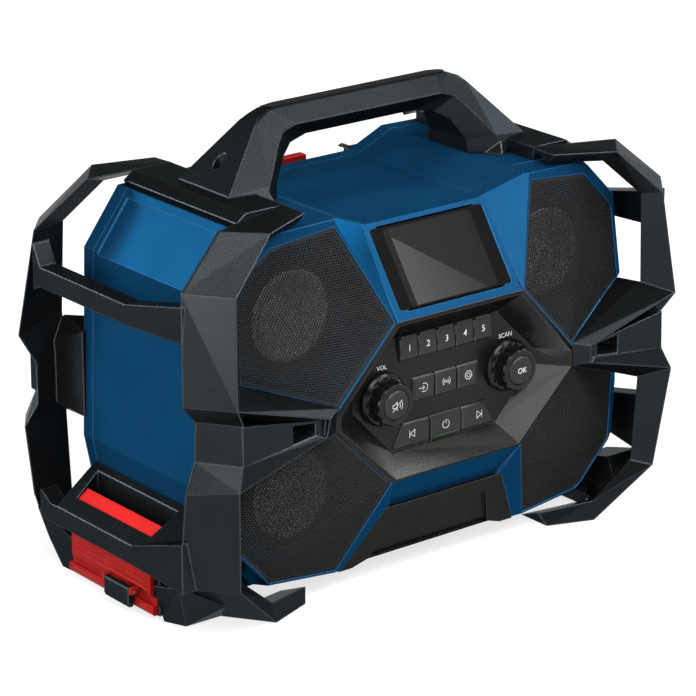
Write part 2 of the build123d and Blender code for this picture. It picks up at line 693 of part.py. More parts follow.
def speaker_basket(x, z):
    y = BAFFLE_Y
    return turned([(33.0, y), (33.0, y - 1.5), (SPEAKER_R, y - 1.5), (SPEAKER_R, y - 3.0),
                   (31.5, y - 3.0), (31.5, y + 1.0), (20.0, y + 20.0), (8.0, y + 20.0),
                   (8.0, y + 22.0), (21.5, y + 22.0)], x, z)


def speaker_cone(x, z):
    """Rubber roll, paper cone and dust cap in one stiff shell."""
    y = BAFFLE_Y
    return turned([(31.4, y - 2.8), (31.4, y - 1.8), (29.5, y - 2.6), (27.0, y - 1.6),
                   (9.0, y + 13.0), (7.6, y + 15.0), (7.6, y + 21.0), (6.4, y + 21.0),
                   (6.4, y + 12.0), (0, y + 9.5), (0, y + 8.7), (9.4, y + 11.6),
                   (26.6, y - 2.6), (29.2, y - 4.0)], x, z)


def speaker_magnet(x, z):
    y = BAFFLE_Y + 22.0
    return turned([(8.2, y), (MAGNET_R, y), (MAGNET_R, y + 14), (0, y + 14), (0, y + 9),
                   (8.2, y + 9)], x, z)


# ---------------------------------------------------------------- skirt and feet


def front_skirt():
    """The black apron between the lower pods, with a set-back panel."""
    outline = [(51, 59.1), (77.3, 13.6), (66, 13.6), (54, 17.8)]
    plate = skirt_slab(outline) - skirt_slab(outline, inset=7.0)
    panel = [(41.5, 46.4), (53.0, 17.9)]
    recess = slab(mirrored_ring(panel), -120, -60) - skirt_slab(panel, inset=2.6)
    return plate - recess


def skirt_slab(half_outline, inset=0.0):
    """What lies behind the apron's sloping face within an outline."""
    corners = (SKIRT_TOP, (77.3, -83.0, 13.6), (-51.0, -100.7, 59.1))
    return behind(slab(mirrored_ring(half_outline), -120, -60), *corners, inset=inset)


def skirt_room():
    """The step in the housing that the apron lies in."""
    outline = [(51, 59.1), (77.3, 13.6), (77.3, 10.0), (51, 10.0)]
    return slab(mirrored_ring(outline), -120, -60) - skirt_slab(outline, inset=7.0)


def foot_pads():
    """Rubber pads let into the underside of the four toes."""
    pads = block((114, 138), (-84, -70), (0, 2.5)) + block((114, 138), (70, 84), (0, 2.5))
    return both(pads)


# ---------------------------------------------------------------- side door, left


def side_door():
    """Ribbed flap hung from its rolled top edge, with two ears for the latch pin."""
    x_in, x_out = DOOR_X
    door = block((x_in, x_out), DOOR_Y, (DOOR_LOW_Z, DOOR_PIN[1]))
    door += drum(*DOOR_PIN, DOOR_BARREL_R, *DOOR_Y)
    for z in (20.6, 25.2, 29.8):
        door += block((x_out, x_out + 0.9), (DOOR_Y[0] + 5, DOOR_Y[1] - 5), (z - 0.8, z + 0.8))
    low_y, high_y = LATCH_Y
    for y in (low_y - 3.2, high_y + 0.4):
        ear = block((x_out, LATCH_PIN[0] + 1.9), (y, y + 2.8), (14.4, 19.4))
        door += ear
    door -= drum(*LATCH_PIN, PIN_R + 0.05, low_y - 4, high_y + 4)
    door -= drum(*DOOR_PIN, PIN_R + 0.05, DOOR_Y[0] - 1, DOOR_Y[1] + 1)
    return door


def door_latch():
    """The black pull that folds down over the sill."""
    x, z = LATCH_PIN
    barrel = drum(x, z, 2.4, *LATCH_Y)
    leaf = convex([(px, y, pz) for y in LATCH_Y for px, pz in
                   [(x - 1.9, z), (x + 2.3, z), (x + 2.6, 7.0), (x + 1.4, 4.4), (x - 1.9, 4.4)]])
    return barrel + leaf - drum(x, z, PIN_R + 0.05, LATCH_Y[0] - 1, LATCH_Y[1] + 1)


def door_sill():
    """Red threshold under the door: a long bead below, set back under the door's edge."""
    sill = convex([(x, y, z) for y in (-46.0, 52.0) for x, z in
                   [(196.5, 3.4), (203.6, 3.4), (205.2, 6.0), (204.8, 10.6), (196.5, 10.6)]])
    sill += block((196.5, 201.8), (-46.0, 52.0), (10.0, 15.6))
    return sill + block((204.6, 205.8), (-40.0, 46.0), (7.2, 8.6)) - block(
        (204.0, 215), (LATCH_Y[0] - 3.6, LATCH_Y[1] + 3.6), (3, 16))


def door_clearance():
    """Room for the side door, its pin, its sill and its latch in the left frame."""
    room = block((DOOR_X[0] - 0.3, 230), (DOOR_Y[0] - 0.5, DOOR_Y[1] + 0.5), (15.6, 35.4))
    room += drum(*DOOR_PIN, PIN_R, DOOR_Y[0] - 2.5, DOOR_Y[1] + 2.5)
    return room + block((196.4, 230), (-46.1, 52.1), (3.3, 15.7))


def compartment():
    """The box behind the side door, in the foot of the left frame."""
    shell = block((168, 200.8), (-48, 54), (3.2, 42))
    return shell - block((180, 201), DOOR_Y, (16.0, 35.6))


def pocket_walls():
    """The closed box under the sloping panel, before the well is cut in it."""
    return convex([(x, y, z) for y, x, top in [(-40.0, 200.5, 53.0), (50.5, 200.5, 53.0),
                                               (53.0, 178.5, 69.5), (-44.0, 178.5, 69.5)]
                   for z in (41.0, top)])


def pocket_cut():
    """The open well over the side door, seen through the sloping panel."""
    rim = [(-38.0, 199.5), (48.5, 199.5), (51.0, 180.5), (-42.0, 180.5)]
    return convex([(x, y, z) for y, x in rim for z in (44.0, 90.0)])


def pocket_ramp():
    """Red slope along the outer side of the well."""
    return convex([(199.3, -37.8, 44.0), (199.3, 48.3, 44.0), (190.0, -39.0, 44.0),
                   (190.0, 49.3, 44.0), (199.3, -37.8, 55.6), (199.3, 48.3, 55.6),
                   (190.0, -39.0, 61.4), (190.0, 49.3, 61.4)])


# ---------------------------------------------------------------- rear


def battery_bay():
    """Open box behind the battery door that a pack slides down into."""
    outer = block((-BAY_X, BAY_X), (22.0, BACK_Y - 0.5), BAY_Z)
    inner = block((-BAY_X + 2, BAY_X - 2), (24.0, BACK_Y), (BAY_Z[0] + 2, BAY_Z[1] - 2))
    rails = block((-BAY_X + 2, -BAY_X + 8), (24.0, 40.0), (110, 220))
    return outer - inner + both(rails)


def battery_contacts():
    """Contact block with its three blades."""
    blades = block((-32, 32), (24.0, 32.0), (200, 212))
    for x in (-18, 0, 18):
        blades += block((x - 0.6, x + 0.6), (32.0, 46.0), (202, 210))
    return blades


def battery_door():
    """Rear hatch on a hinge along its bottom edge, stiffened by upright ribs."""
    x, (z_low, z_high) = HATCH_X, HATCH_Z
    y_front, y_back = HATCH_Y
    door = loft([face_at([(-x, z_low), (x, z_low), (x, z_high), (-x, z_high)], y_front),
                 face_at([(-x, z_low), (x, z_low), (x, z_high), (-x, z_high)], y_back - 3),
                 face_at([(3 - x, z_low + 3), (x - 3, z_low + 3), (x - 3, z_high - 3),
                          (3 - x, z_high - 3)], y_back)], ruled=True)
    for n in range(5):
        rib_x = (n - 2) * 18.0
        door += block((rib_x - 2, rib_x + 2), (y_back, y_back + 1.6), (z_low + 14, z_high - 30))
    y, z = HATCH_PIN
    for side in (-40.0, 20.0):
        door += Pos(side + 10, y, z) * Rot(0, 90, 0) * Cylinder(3.4, 20)
        door += block((side, side + 20), (y - 3, y + 1), (z, z_low + 3))
    door -= Pos(0, y, z) * Rot(0, 90, 0) * Cylinder(PIN_R + 0.05, 120)
    return door - hatch_latch_seat()


def hatch_latch_seat():
    return block((-20.4, 20.4), (70, 90), (233.6, 260))


def battery_door_latch():
    """Red sliding catch at the top of the hatch."""
    body = block((-17, 17), (BACK_Y + FIT, 79.5), (234.0, 254.5))
    return body + block((-14, 14), (79.5, 81.0), (238, 248))


def hatch_pin():
    y, z = HATCH_PIN
    return Pos(0, y, z) * Rot(0, 90, 0) * Cylinder(PIN_R, 92)


def hinge_lugs():
    """Three round-nosed lugs on the rear cover that hold the battery door's pin."""
    y, z = HATCH_PIN
    lugs = []
    for low, high in ((-46.0, -40.4), (-19.6, 19.6), (40.4, 46.0)):
        nose = Pos((low + high) / 2, y, z) * Rot(0, 90, 0) * Cylinder(LUG_R, high - low)
        lugs.append(nose + block((low, high), (BACK_Y - 1, y), (z - LUG_R, z + LUG_R)))
    return fused(lugs) - Pos(0, y, z) * Rot(0, 90, 0) * Cylinder(PIN_R, 120)


def antenna_base():
    """Fork on the rear cover that carries the rod's knuckle."""
    foot = block((ROD_X - 6, ROD_X + 6), (BACK_Y, 80.5), (ROD_Z - 8, ROD_Z + 5))
    return foot + drum(ROD_X, ROD_Z, 2.0, 80.5, 90.0)


def rod_antenna():
    """Telescopic rod, folded, in three visible stages with a tip."""
    knuckle = drum(ROD_X, ROD_Z, 4.6, 81.0, 89.6) - drum(ROD_X, ROD_Z, 2.05, 80, 91)
    top = ROD_Z - 4.0
    rod = upright(ROD_X, ROD_Y, 3.0, top - 60, top)
    rod += upright(ROD_X, ROD_Y, 2.4, top - 110, top - 60)
    rod += upright(ROD_X, ROD_Y, 1.8, top - ROD_LENGTH + 6, top - 110)
    rod += upright(ROD_X, ROD_Y, 3.0, top - ROD_LENGTH, top - ROD_LENGTH + 6)
    return knuckle + rod - drum(ROD_X, ROD_Z, 2.05, 80, 91)


SCREW_PLACES = [(115.0, 256.5), (167.5, 196.0), (170.5, 100.0), (115.0, 21.5)]


def screw_bosses():
    return both(fused([drum(x, z, 6.0, 30.0, SPLIT_Y) for x, z in SCREW_PLACES]))


def cover_bosses():
    return both(fused([drum(x, z, 6.0, SPLIT_Y, BACK_Y - 1) for x, z in SCREW_PLACES]))


def housing_screws():
    """Long screws from the back through the cover into the front housing."""
    screws = fused([drum(x, z, 3.4, BACK_Y - 6.0, BACK_Y - 3.5) + drum(x, z, 1.8, 36.0, BACK_Y - 6.0)
                    for x, z in SCREW_PLACES])
    return both(screws)


def screw_cuts():
    cuts = fused([drum(x, z, 4.2, BACK_Y - 6.0, BACK_Y + 5) + drum(x, z, 1.8, 36.0, BACK_Y - 6.0)
                  for x, z in SCREW_PLACES])
    return both(cuts)


# ---------------------------------------------------------------- inside


def amplifier_board():
    """Main board on the floor of the housing, with its heat sink and capacitors."""
    board = block((-75, 75), (-45, 15), (23.0, 24.6))
    for n in range(7):
        x = -60 + n * 5.0
        board += block((x, x + 2), (-35, -5), (24.6, 46.0))
    board += block((-62, -26), (-35, -5), (24.6, 28.0))
    for x in (10.0, 30.0, 50.0):
        board += upright(x, -20.0, 7.0, 24.6, 46.0)
    return board


def board_posts():
    return both(fused([upright(65, y, 4.0, FLOOR_Z + 1, 23.0) for y in (-38.0, 8.0)]))


# ---------------------------------------------------------------- assembly


def write(pieces):
    os.makedirs("parts", exist_ok=True)
    for name, piece in pieces.items():
        export_step(piece, f"parts/{name}.step")


def tub_envelope():
    """The whole tub without its hollow, to trim what lies against it."""
    return slab(mirrored(TUB), BODY_FRONT_Y, SPLIT_Y) + rear_outer()


def main():
    pieces = {}
    envelope = tub_envelope()
    pads = foot_pads()
    skirt = front_skirt()
    screw_x, screw_y = HANDLE_SCREW
    screw_holes = both(upright(screw_x, HANDLE_Y + screw_y, SCREW_SHANK_R, 267.0, RAIL_Z))
    right = right_frame() - envelope - pads - screw_holes
    left_side = left_frame() + left(compartment() + pocket_walls()) - left(pocket_cut())
    left_side -= envelope + pads
    left_side -= left(door_clearance()) + screw_holes
    mask = console_mask()
    arms = both(front_arms())

    housing = housing_shell() - mask_body() - arms - skirt_room()
    housing -= on_slope(WINDOW[0] + 0.2, WINDOW[1] + 0.2, -30, 4.2, 2.6)
    housing -= on_slope(84.4, 60.4, -1, 9.0)
    housing += screw_bosses() + board_posts()
    housing -= screw_cuts()
    pieces["front_housing"] = housing
    cover = rear_shell() + cover_bosses() + hinge_lugs() - screw_cuts()
    cover -= block((-BAY_X - 0.3, BAY_X + 0.3), (50, 90), (BAY_Z[0] - 0.3, BAY_Z[1] + 0.3))
    pieces["rear_cover"] = cover
    pieces["left_frame"] = left_side
    pieces["right_frame"] = right
    pieces["console_mask"] = mask
    pieces["front_skirt"] = skirt
    pieces["foot_pads"] = pads

    for level, outline, planes in (("upper", UPPER_GRILLE, UPPER_PLANES),
                                   ("lower", LOWER_GRILLE, LOWER_PLANES)):
        sheet = grille(outline, planes)
        pieces[f"grille_{level}_right"] = sheet
        pieces[f"grille_{level}_left"] = left(sheet)
        for side, x in (("left", -SPEAKER_X), ("right", SPEAKER_X)):
            z = SPEAKER_Z[level]
            pieces[f"speaker_basket_{level}_{side}"] = speaker_basket(x, z)
            pieces[f"speaker_cone_{level}_{side}"] = speaker_cone(x, z)
    magnets = [speaker_magnet(SPEAKER_X, z) for z in SPEAKER_Z.values()]
    pieces["speaker_magnets"] = both(fused(magnets))

    pieces["handle_bar"] = handle_bar()
    pieces["handle_grip"] = handle_grip()
    pieces["handle_screws"] = handle_screws()

    pieces["display_bezel"] = display_bezel()
    pieces["display_lens"] = display_lens()
    pieces["display_module"] = display_module()

    pieces.update(keys())
    pieces["key_mat"] = key_mat()
    pieces["control_board"] = control_board()
    pieces["volume_encoder"] = encoder(-KNOB_X)
    pieces["scan_encoder"] = encoder(KNOB_X)
    pieces["volume_knob"] = knob(-KNOB_X)
    pieces["scan_knob"] = knob(KNOB_X)
    pieces["mute_button"] = push_cap(-KNOB_X)
    pieces["ok_button"] = push_cap(KNOB_X)

    pieces["side_door"] = left(side_door())
    pieces["door_hinge_pin"] = left(drum(*DOOR_PIN, PIN_R, DOOR_Y[0] - 2.5, DOOR_Y[1] + 2.5))
    pieces["door_latch"] = left(door_latch())
    pieces["latch_pin"] = left(drum(*LATCH_PIN, PIN_R, LATCH_Y[0] - 3.2, LATCH_Y[1] + 3.2))
    pieces["door_sill"] = left(door_sill())
    pieces["pocket_ramp"] = left(pocket_ramp())

    pieces["battery_bay"] = battery_bay()
    pieces["battery_contacts"] = battery_contacts()
    pieces["battery_door"] = battery_door()
    pieces["battery_door_latch"] = battery_door_latch()
    pieces["battery_door_pin"] = hatch_pin()
    pieces["antenna_base"] = antenna_base()
    pieces["rod_antenna"] = rod_antenna()
    pieces["housing_screws"] = housing_screws()
    pieces["amplifier_board"] = amplifier_board()
    print(len(pieces), "pieces")
    write(pieces)


main()
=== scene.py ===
"""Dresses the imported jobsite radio: moulded finishes, perforated grilles, lit keys and a studio.

Every piece stands where its CAD node stands, in metres, and rides on that node's body.
"""

import json
import math

import bmesh
import bpy
from mathutils import Matrix, Vector
from mathutils.bvhtree import BVHTree

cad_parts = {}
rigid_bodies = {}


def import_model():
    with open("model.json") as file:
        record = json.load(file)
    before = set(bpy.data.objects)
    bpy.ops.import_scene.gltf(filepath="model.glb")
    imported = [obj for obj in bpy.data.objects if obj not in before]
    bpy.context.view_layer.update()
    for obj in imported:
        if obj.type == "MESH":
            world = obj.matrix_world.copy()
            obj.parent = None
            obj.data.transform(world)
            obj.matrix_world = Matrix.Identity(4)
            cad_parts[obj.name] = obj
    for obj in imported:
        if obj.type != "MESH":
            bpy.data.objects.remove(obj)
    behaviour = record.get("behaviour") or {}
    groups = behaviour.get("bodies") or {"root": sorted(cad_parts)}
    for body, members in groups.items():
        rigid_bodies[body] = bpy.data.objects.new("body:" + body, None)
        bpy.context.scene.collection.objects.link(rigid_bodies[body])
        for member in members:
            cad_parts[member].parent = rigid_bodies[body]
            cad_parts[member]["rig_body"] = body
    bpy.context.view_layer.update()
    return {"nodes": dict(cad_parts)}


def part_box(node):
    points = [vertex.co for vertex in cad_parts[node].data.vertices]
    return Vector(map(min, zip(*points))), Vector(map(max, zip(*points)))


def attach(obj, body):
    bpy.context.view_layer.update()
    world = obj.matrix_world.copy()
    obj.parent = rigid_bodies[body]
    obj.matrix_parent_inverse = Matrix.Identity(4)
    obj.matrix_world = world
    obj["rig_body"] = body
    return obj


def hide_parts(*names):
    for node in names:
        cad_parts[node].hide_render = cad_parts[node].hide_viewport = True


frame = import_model()

bl_info = {
    "name": "Jobsite radio dressing",
    "version": (1, 0, 0),
    "blender": (4, 5, 0),
    "location": "3D View > Sidebar > Radio",
    "description": "Builds the finished look of a jobsite radio around its packed frame",
    "category": "Object",
}

MM = 0.001

# ------------------------------------------------------------------------ the radio's places

# In millimetres, in the shared frame. Outlines are (x, z) from the front, of the grilles on the
# right-hand side.
UPPER_GRILLE = [(84.7, 260.2), (135.2, 254.6), (170.0, 224.0), (172.0, 172.0), (148.4, 164.1),
                (101.9, 146.5), (56.5, 195.4)]
LOWER_GRILLE = [(103.6, 130.0), (172.0, 102.0), (164.9, 53.1), (136.4, 21.9), (83.2, 18.1),
                (57.0, 83.0)]
GRILLES = {
    "grille_upper_left": (UPPER_GRILLE, -1),
    "grille_upper_right": (UPPER_GRILLE, 1),
    "grille_lower_left": (LOWER_GRILLE, -1),
    "grille_lower_right": (LOWER_GRILLE, 1),
}
GRILLE_FRONT = -140.0      # Y of a plane clear of the grilles, from which cells are laid down
RAY_START = -300.0         # Y from which the plain band is laid down
BAND_Y = -80.0             # Y of the band, should it miss the sheet
RIM_GAP = 0.35             # from the outline to the band's outer edge
RIM_STEP = 2.0             # about the length of the band's pieces
PLATE_Y = -99.5            # the flat front of the key plate
KNOBS = {"volume_knob": -54.5, "scan_knob": 54.5}       # X of each
KNOB_Z = 138.0

CONSOLE_WORDS = (("VOL", 4.4, -54.3, 159.5), ("SCAN", 4.6, 53.8, 159.0))     # size, x, z
DIGIT_SIZE = 6.4
OK_SIZE = 5.6
KEY_STROKE = 0.36          # widths of the strokes that marks are drawn with
MUTE_STROKE = 0.34
LIGHT_STROKE = 1.1
LIGHT_UP = 3.2             # from the power key's lower edge to its light

# In metres.
WELD_GAP = 0.00005         # corners closer than this are one
BAND_LIFT = 0.00012        # how far a grille's band stands proud of its sheet
INK_DEPTH = 0.0002         # thickness of a printed mark
INK_LIFT = 0.00006         # from a face to the middle of the mark on it
LIGHT_DEPTH = 0.0004
LIGHT_LIFT = 0.0001

CORNERS = ("upper_left", "upper_right", "lower_left", "lower_right")
PRESETS = [f"preset_key_{n}" for n in range(1, 6)]
KEYS = PRESETS + ["source_key", "pairing_key", "settings_key", "previous_key", "power_key",
                  "next_key"]

ROOT_3 = math.sqrt(3.0)
BACKWARD = (0.0, 1.0, 0.0)
UPRIGHT = (math.pi / 2, 0.0, 0.0)
CRISP = 3.0                # degrees: flat facets of the mouldings are shaded apart
SHARPEST = 0.35            # least cosine by which a stroke's corner is drawn out

FLOOR_REACH = 6.0
LIGHTS_AIM = (0.0, 0.0, 0.16)
LIGHTS_DISTANCE = 2.6
# Name, degrees round from the front, degrees up, width, height, power.
SOFTBOXES = (
    ("back_left", -142, 20, 1.0, 0.9, 34.0),
    ("front", -8, 42, 1.7, 1.1, 52.0),
    ("right", 90, 19, 1.2, 1.5, 50.0),
    ("left", -68, 14, 1.1, 1.4, 44.0),
    ("top", -94, 70, 0.9, 0.9, 18.0),
    ("front_right", 46, 43, 1.1, 1.0, 32.0),
)


# ------------------------------------------------------------------------ settings


class FinishSettings(bpy.types.PropertyGroup):
    """Colours of the radio's plastics and metals."""

    housing: bpy.props.FloatVectorProperty(
        name="Housing", description="Moulded blue of the housing", subtype="COLOR", size=3,
        min=0.0, max=1.0, default=(0.005, 0.043, 0.105))
    frame_black: bpy.props.FloatVectorProperty(
        name="Frames", description="Black of the guard frames, handle and console",
        subtype="COLOR", size=3, min=0.0, max=1.0, default=(0.0190, 0.0215, 0.0235))
    accent: bpy.props.FloatVectorProperty(
        name="Accent", description="Red of the side door, sill, ramp and catch",
        subtype="COLOR", size=3, min=0.0, max=1.0, default=(0.31, 0.011, 0.010))
    legend: bpy.props.FloatVectorProperty(
        name="Legends", description="Printed marks on the keys", subtype="COLOR", size=3,
        min=0.0, max=1.0, default=(0.75, 0.75, 0.76))


class GrilleSettings(bpy.types.PropertyGroup):
    """Sizes of the perforated sheet."""

    pitch: bpy.props.FloatProperty(
        name="Pitch", description="Distance between neighbouring holes", unit="LENGTH",
        min=0.0015, max=0.01, default=0.00195)
    hole: bpy.props.FloatProperty(
        name="Hole", description="Width of a hole across its corners", unit="LENGTH",
        min=0.0005, max=0.005, default=0.00155)
    sheet: bpy.props.FloatProperty(
        name="Sheet", description="Thickness of the sheet", unit="LENGTH",
        min=0.0003, max=0.003, default=0.0008)
    border: bpy.props.FloatProperty(
        name="Border", description="Width of the plain band along the rim", unit="LENGTH",
        min=0.0, max=0.01, default=0.0022)


class EdgeSettings(bpy.types.PropertyGroup):
    """How far moulded edges are rounded."""

    small: bpy.props.FloatProperty(
        name="Small edges", description="Width of the bevel on doors, knobs and catches",
        unit="LENGTH", min=0.0, max=0.002, default=0.0003)
    keys: bpy.props.FloatProperty(
        name="Key edges", description="Width of the flat chamfer on the keys",
        unit="LENGTH", min=0.0, max=0.002, default=0.0007)


# ------------------------------------------------------------------------ node helpers


def fill(tree, node, inputs):
    """Gives a node's inputs, by name or number, their values, or links them to the sockets
    that stand for their values."""
    for key, value in dict(inputs).items():
        if isinstance(value, bpy.types.NodeSocket):
            tree.links.new(value, node.inputs[key])
        else:
            node.inputs[key].default_value = value


def add_node(tree, kind, inputs=(), **properties):
    """A new node with its properties set and its inputs filled."""
    node = tree.nodes.new(kind)
    for key, value in properties.items():
        setattr(node, key, value)
    fill(tree, node, inputs)
    return node


def arithmetic(tree, operation, *values):
    """The result of a maths node on numbers or sockets."""
    node = add_node(tree, "ShaderNodeMath", enumerate(values), operation=operation)
    return node.outputs[0]


def grey(value):
    return (value, value, value, 1.0)


def shaded(color, factor):
    """A colour made darker or paler, with its alpha."""
    return (*[min(1.0, c * factor) for c in color], 1.0)


def on_object(tree):
    """Where a point lies in its object's own coordinates."""
    return add_node(tree, "ShaderNodeTexCoord").outputs["Object"]


def add_noise(tree, scale, detail=4.0, rough=0.55):
    """Noise fixed to the object, from 0 to 1."""
    noise = add_node(tree, "ShaderNodeTexNoise", {
        "Vector": on_object(tree), "Scale": scale, "Detail": detail, "Roughness": rough})
    return noise.outputs["Fac"]


def add_ramp(tree, source, low, high, start=0.35, end=0.65):
    """A colour that goes from low to high while its source goes from start to end."""
    ramp = add_node(tree, "ShaderNodeValToRGB", {"Fac": source})
    stops = ramp.color_ramp.elements
    for stop, position, color in zip(stops, (start, end), (low, high)):
        stop.position = position
        stop.color = color
    return ramp.outputs["Color"]


def add_bump(tree, shader, source, strength, distance, normal=None):
    """Relief from a source, on top of a rounded normal if there is one."""
    bump = add_node(tree, "ShaderNodeBump",
                    {"Height": source, "Strength": strength, "Distance": distance})
    if normal is not None:
        fill(tree, bump, {"Normal": normal})
    fill(tree, shader, {"Normal": bump.outputs["Normal"]})


def add_edges(tree, radius):
    """Rounded shading along edges, and a mask that is 1 on them and 0 on the flats."""
    rounding = add_node(tree, "ShaderNodeBevel", {"Radius": radius}, samples=6)
    rounded = rounding.outputs["Normal"]
    flat = add_node(tree, "ShaderNodeNewGeometry").outputs["True Normal"]
    bend = add_node(tree, "ShaderNodeVectorMath", {0: rounded, 1: flat},
                    operation="DOT_PRODUCT")
    mask = add_ramp(tree, bend.outputs["Value"], grey(1.0), grey(0.0), 0.90, 0.99)
    return rounded, mask


def seen_directly(tree):
    """1 for what the camera sees itself, in a reflection or through glass, and 0 for light."""
    rays = add_node(tree, "ShaderNodeLightPath").outputs
    total = rays["Is Camera Ray"]
    for name in ("Is Glossy Ray", "Is Transmission Ray"):
        total = arithmetic(tree, "MAXIMUM", total, rays[name])
    return total


# ------------------------------------------------------------------------ materials


def new_material(name, color, roughness, metallic=0.0, specular=0.5):
    """A new material, with its node tree and its shader."""
    material = bpy.data.materials.new(name)
    material.use_nodes = True
    tree = material.node_tree
    shader = tree.nodes["Principled BSDF"]
    fill(tree, shader, {"Base Color": (*color, 1.0), "Roughness": roughness,
                        "Metallic": metallic, "Specular IOR Level": specular})
    return material, tree, shader


def mottled(tree, source, color, dark):
    """A colour that is darker by a factor where its source is low."""
    return add_ramp(tree, source, shaded(color, dark), shaded(color, 1.0))


def moulded(name, color, roughness=0.42, grain=1400.0, bump=0.14, scuff_and_highlight=1.35, specular=0.0,
            edge=0.0006, sheen=0.45, rim=0.45):
    """Satin plastic: spark-eroded grain, faint cloudiness and paler edges, which are partly
    scuffed by use and partly painted highlight lines. Its sheen takes the plastic's own colour,
    also where it is seen along the surface."""
    material, tree, shader = new_material(name, color, roughness, sheen, specular)
    tint = [rim * (c / max(color)) ** 0.3 for c in color]
    rounded, edge_scuff_and_highlight_mask = add_edges(tree, edge)
    clouds = add_noise(tree, 28.0, detail=3.0)
    body = add_ramp(tree, clouds, shaded(color, 0.93), shaded(color, 1.06))
    # Paler colour along the edges: partly scuffing, partly painted highlight lines.
    scuffed_and_highlit_colour = [min(1.0, c * scuff_and_highlight + 0.025) for c in color]
    mix = add_node(tree, "ShaderNodeMix", {"Factor": edge_scuff_and_highlight_mask, "A": body, "B": (*scuffed_and_highlit_colour, 1.0)},
                   data_type="RGBA")
    grains = add_noise(tree, grain, detail=2.0)
    gloss = add_ramp(tree, grains, grey(roughness - 0.06), grey(roughness + 0.08))
    fill(tree, shader, {"Base Color": mix.outputs["Result"], "Roughness": gloss,
                        "Specular Tint": (*tint, 1.0)})
    add_bump(tree, shader, grains, bump, 0.0001, rounded)
    return material


def brushed_metal(name, color, roughness=0.3):
    """Turned or plated metal with fine lines."""
    material, tree, shader = new_material(name, color, roughness, metallic=1.0)
    drawn = add_node(tree, "ShaderNodeMapping",
                     {"Vector": on_object(tree), "Scale": (1.0, 1.0, 30.0)})
    noise = add_node(tree, "ShaderNodeTexNoise",
                     {"Vector": drawn.outputs["Vector"], "Scale": 300.0})
    lines = noise.outputs["Fac"]
    gloss = add_ramp(tree, lines, grey(roughness - 0.1), grey(roughness + 0.15))
    fill(tree, shader, {"Roughness": gloss})
    add_bump(tree, shader, lines, 0.1, 0.00005)
    return material


def soft_rubber(name, color, specular=0.3):
    """Matt rubber with fine pores."""
    material, tree, shader = new_material(name, color, 0.75, specular=specular)
    pores = add_noise(tree, 2200.0, detail=2.0)
    fill(tree, shader, {"Base Color": mottled(tree, pores, color, 0.8)})
    add_bump(tree, shader, pores, 0.3, 0.00012)
    return material


def pressed_paper(name, color):
    """Driver cone: pressed pulp with faint fibres."""
    material, tree, shader = new_material(name, color, 0.62, specular=0.3)
    fibres = add_noise(tree, 700.0, detail=6.0, rough=0.7)
    fill(tree, shader, {"Base Color": mottled(tree, fibres, color, 0.7)})
    add_bump(tree, shader, fibres, 0.3, 0.0001)
    return material


def printed_board(name, color):
    """Circuit board: solder mask over a grid of tracks."""
    material, tree, shader = new_material(name, color, 0.35)
    tracks = add_node(tree, "ShaderNodeTexBrick", {
        "Vector": on_object(tree), "Scale": 120.0, "Mortar Size": 0.03,
        "Color1": shaded(color, 1.0), "Color2": shaded(color, 0.8),
        "Mortar": shaded(color, 1.8)})
    fill(tree, shader, {"Base Color": tracks.outputs["Color"]})
    return material


def glass_with_painted_reflection(name, low, high):
    """Dark glass between two corners, with a faint painted reflection that glows: a pale wedge in
    its lower left, fading across the glass.
    """
    material, tree, shader = new_material(name, (0.008, 0.008, 0.008), 0.04, specular=0.015)
    smears = add_noise(tree, 60.0, detail=5.0)
    size = high - low
    share = add_node(tree, "ShaderNodeMapping", {
        "Vector": on_object(tree), "Scale": (1.0 / size.x, 1.0, 1.0 / size.z),
        "Location": (-low.x / size.x, 0.0, -low.z / size.z)})
    axes = add_node(tree, "ShaderNodeSeparateXYZ", {0: share.outputs["Vector"]}).outputs
    across, up = axes["X"], axes["Z"]
    # Painted reflection: a glowing pale diagonal wedge in the lower left, brighter towards the
    # left and kept off the two ends.
    diagonal = arithmetic(tree, "ADD", arithmetic(tree, "MULTIPLY", across, 1.06), up)
    wedge = add_ramp(tree, diagonal, grey(1.0), grey(0.12), 0.955, 0.965)
    fade = add_ramp(tree, across, grey(0.085), grey(0.012), 0.0, 1.0)
    from_middle = arithmetic(tree, "ABSOLUTE", arithmetic(tree, "SUBTRACT", across, 0.5))
    inside = add_ramp(tree, from_middle, grey(1.0), grey(0.0), 0.43, 0.435)
    painted_reflection_glow = arithmetic(tree, "MULTIPLY", wedge, fade)
    fill(tree, shader, {
        "Roughness": add_ramp(tree, smears, grey(0.03), grey(0.09)),
        "Emission Color": (1.0, 0.98, 0.94, 1.0),
        "Emission Strength": arithmetic(tree, "MULTIPLY", painted_reflection_glow, inside)})
    return material


def printed_ink(name, color):
    """Screen-printed legend."""
    material, tree, shader = new_material(name, color, 0.5)
    fill(tree, shader, {"Base Color": mottled(tree, add_noise(tree, 3000.0), color, 0.92)})
    return material


def lit_strip(name, color, strength):
    """A light guide behind a key."""
    material, tree, shader = new_material(name, color, 0.3)
    fill(tree, shader, {"Emission Color": mottled(tree, add_noise(tree, 200.0), color, 0.8),
                        "Emission Strength": strength})
    return material


MATERIALS = {}


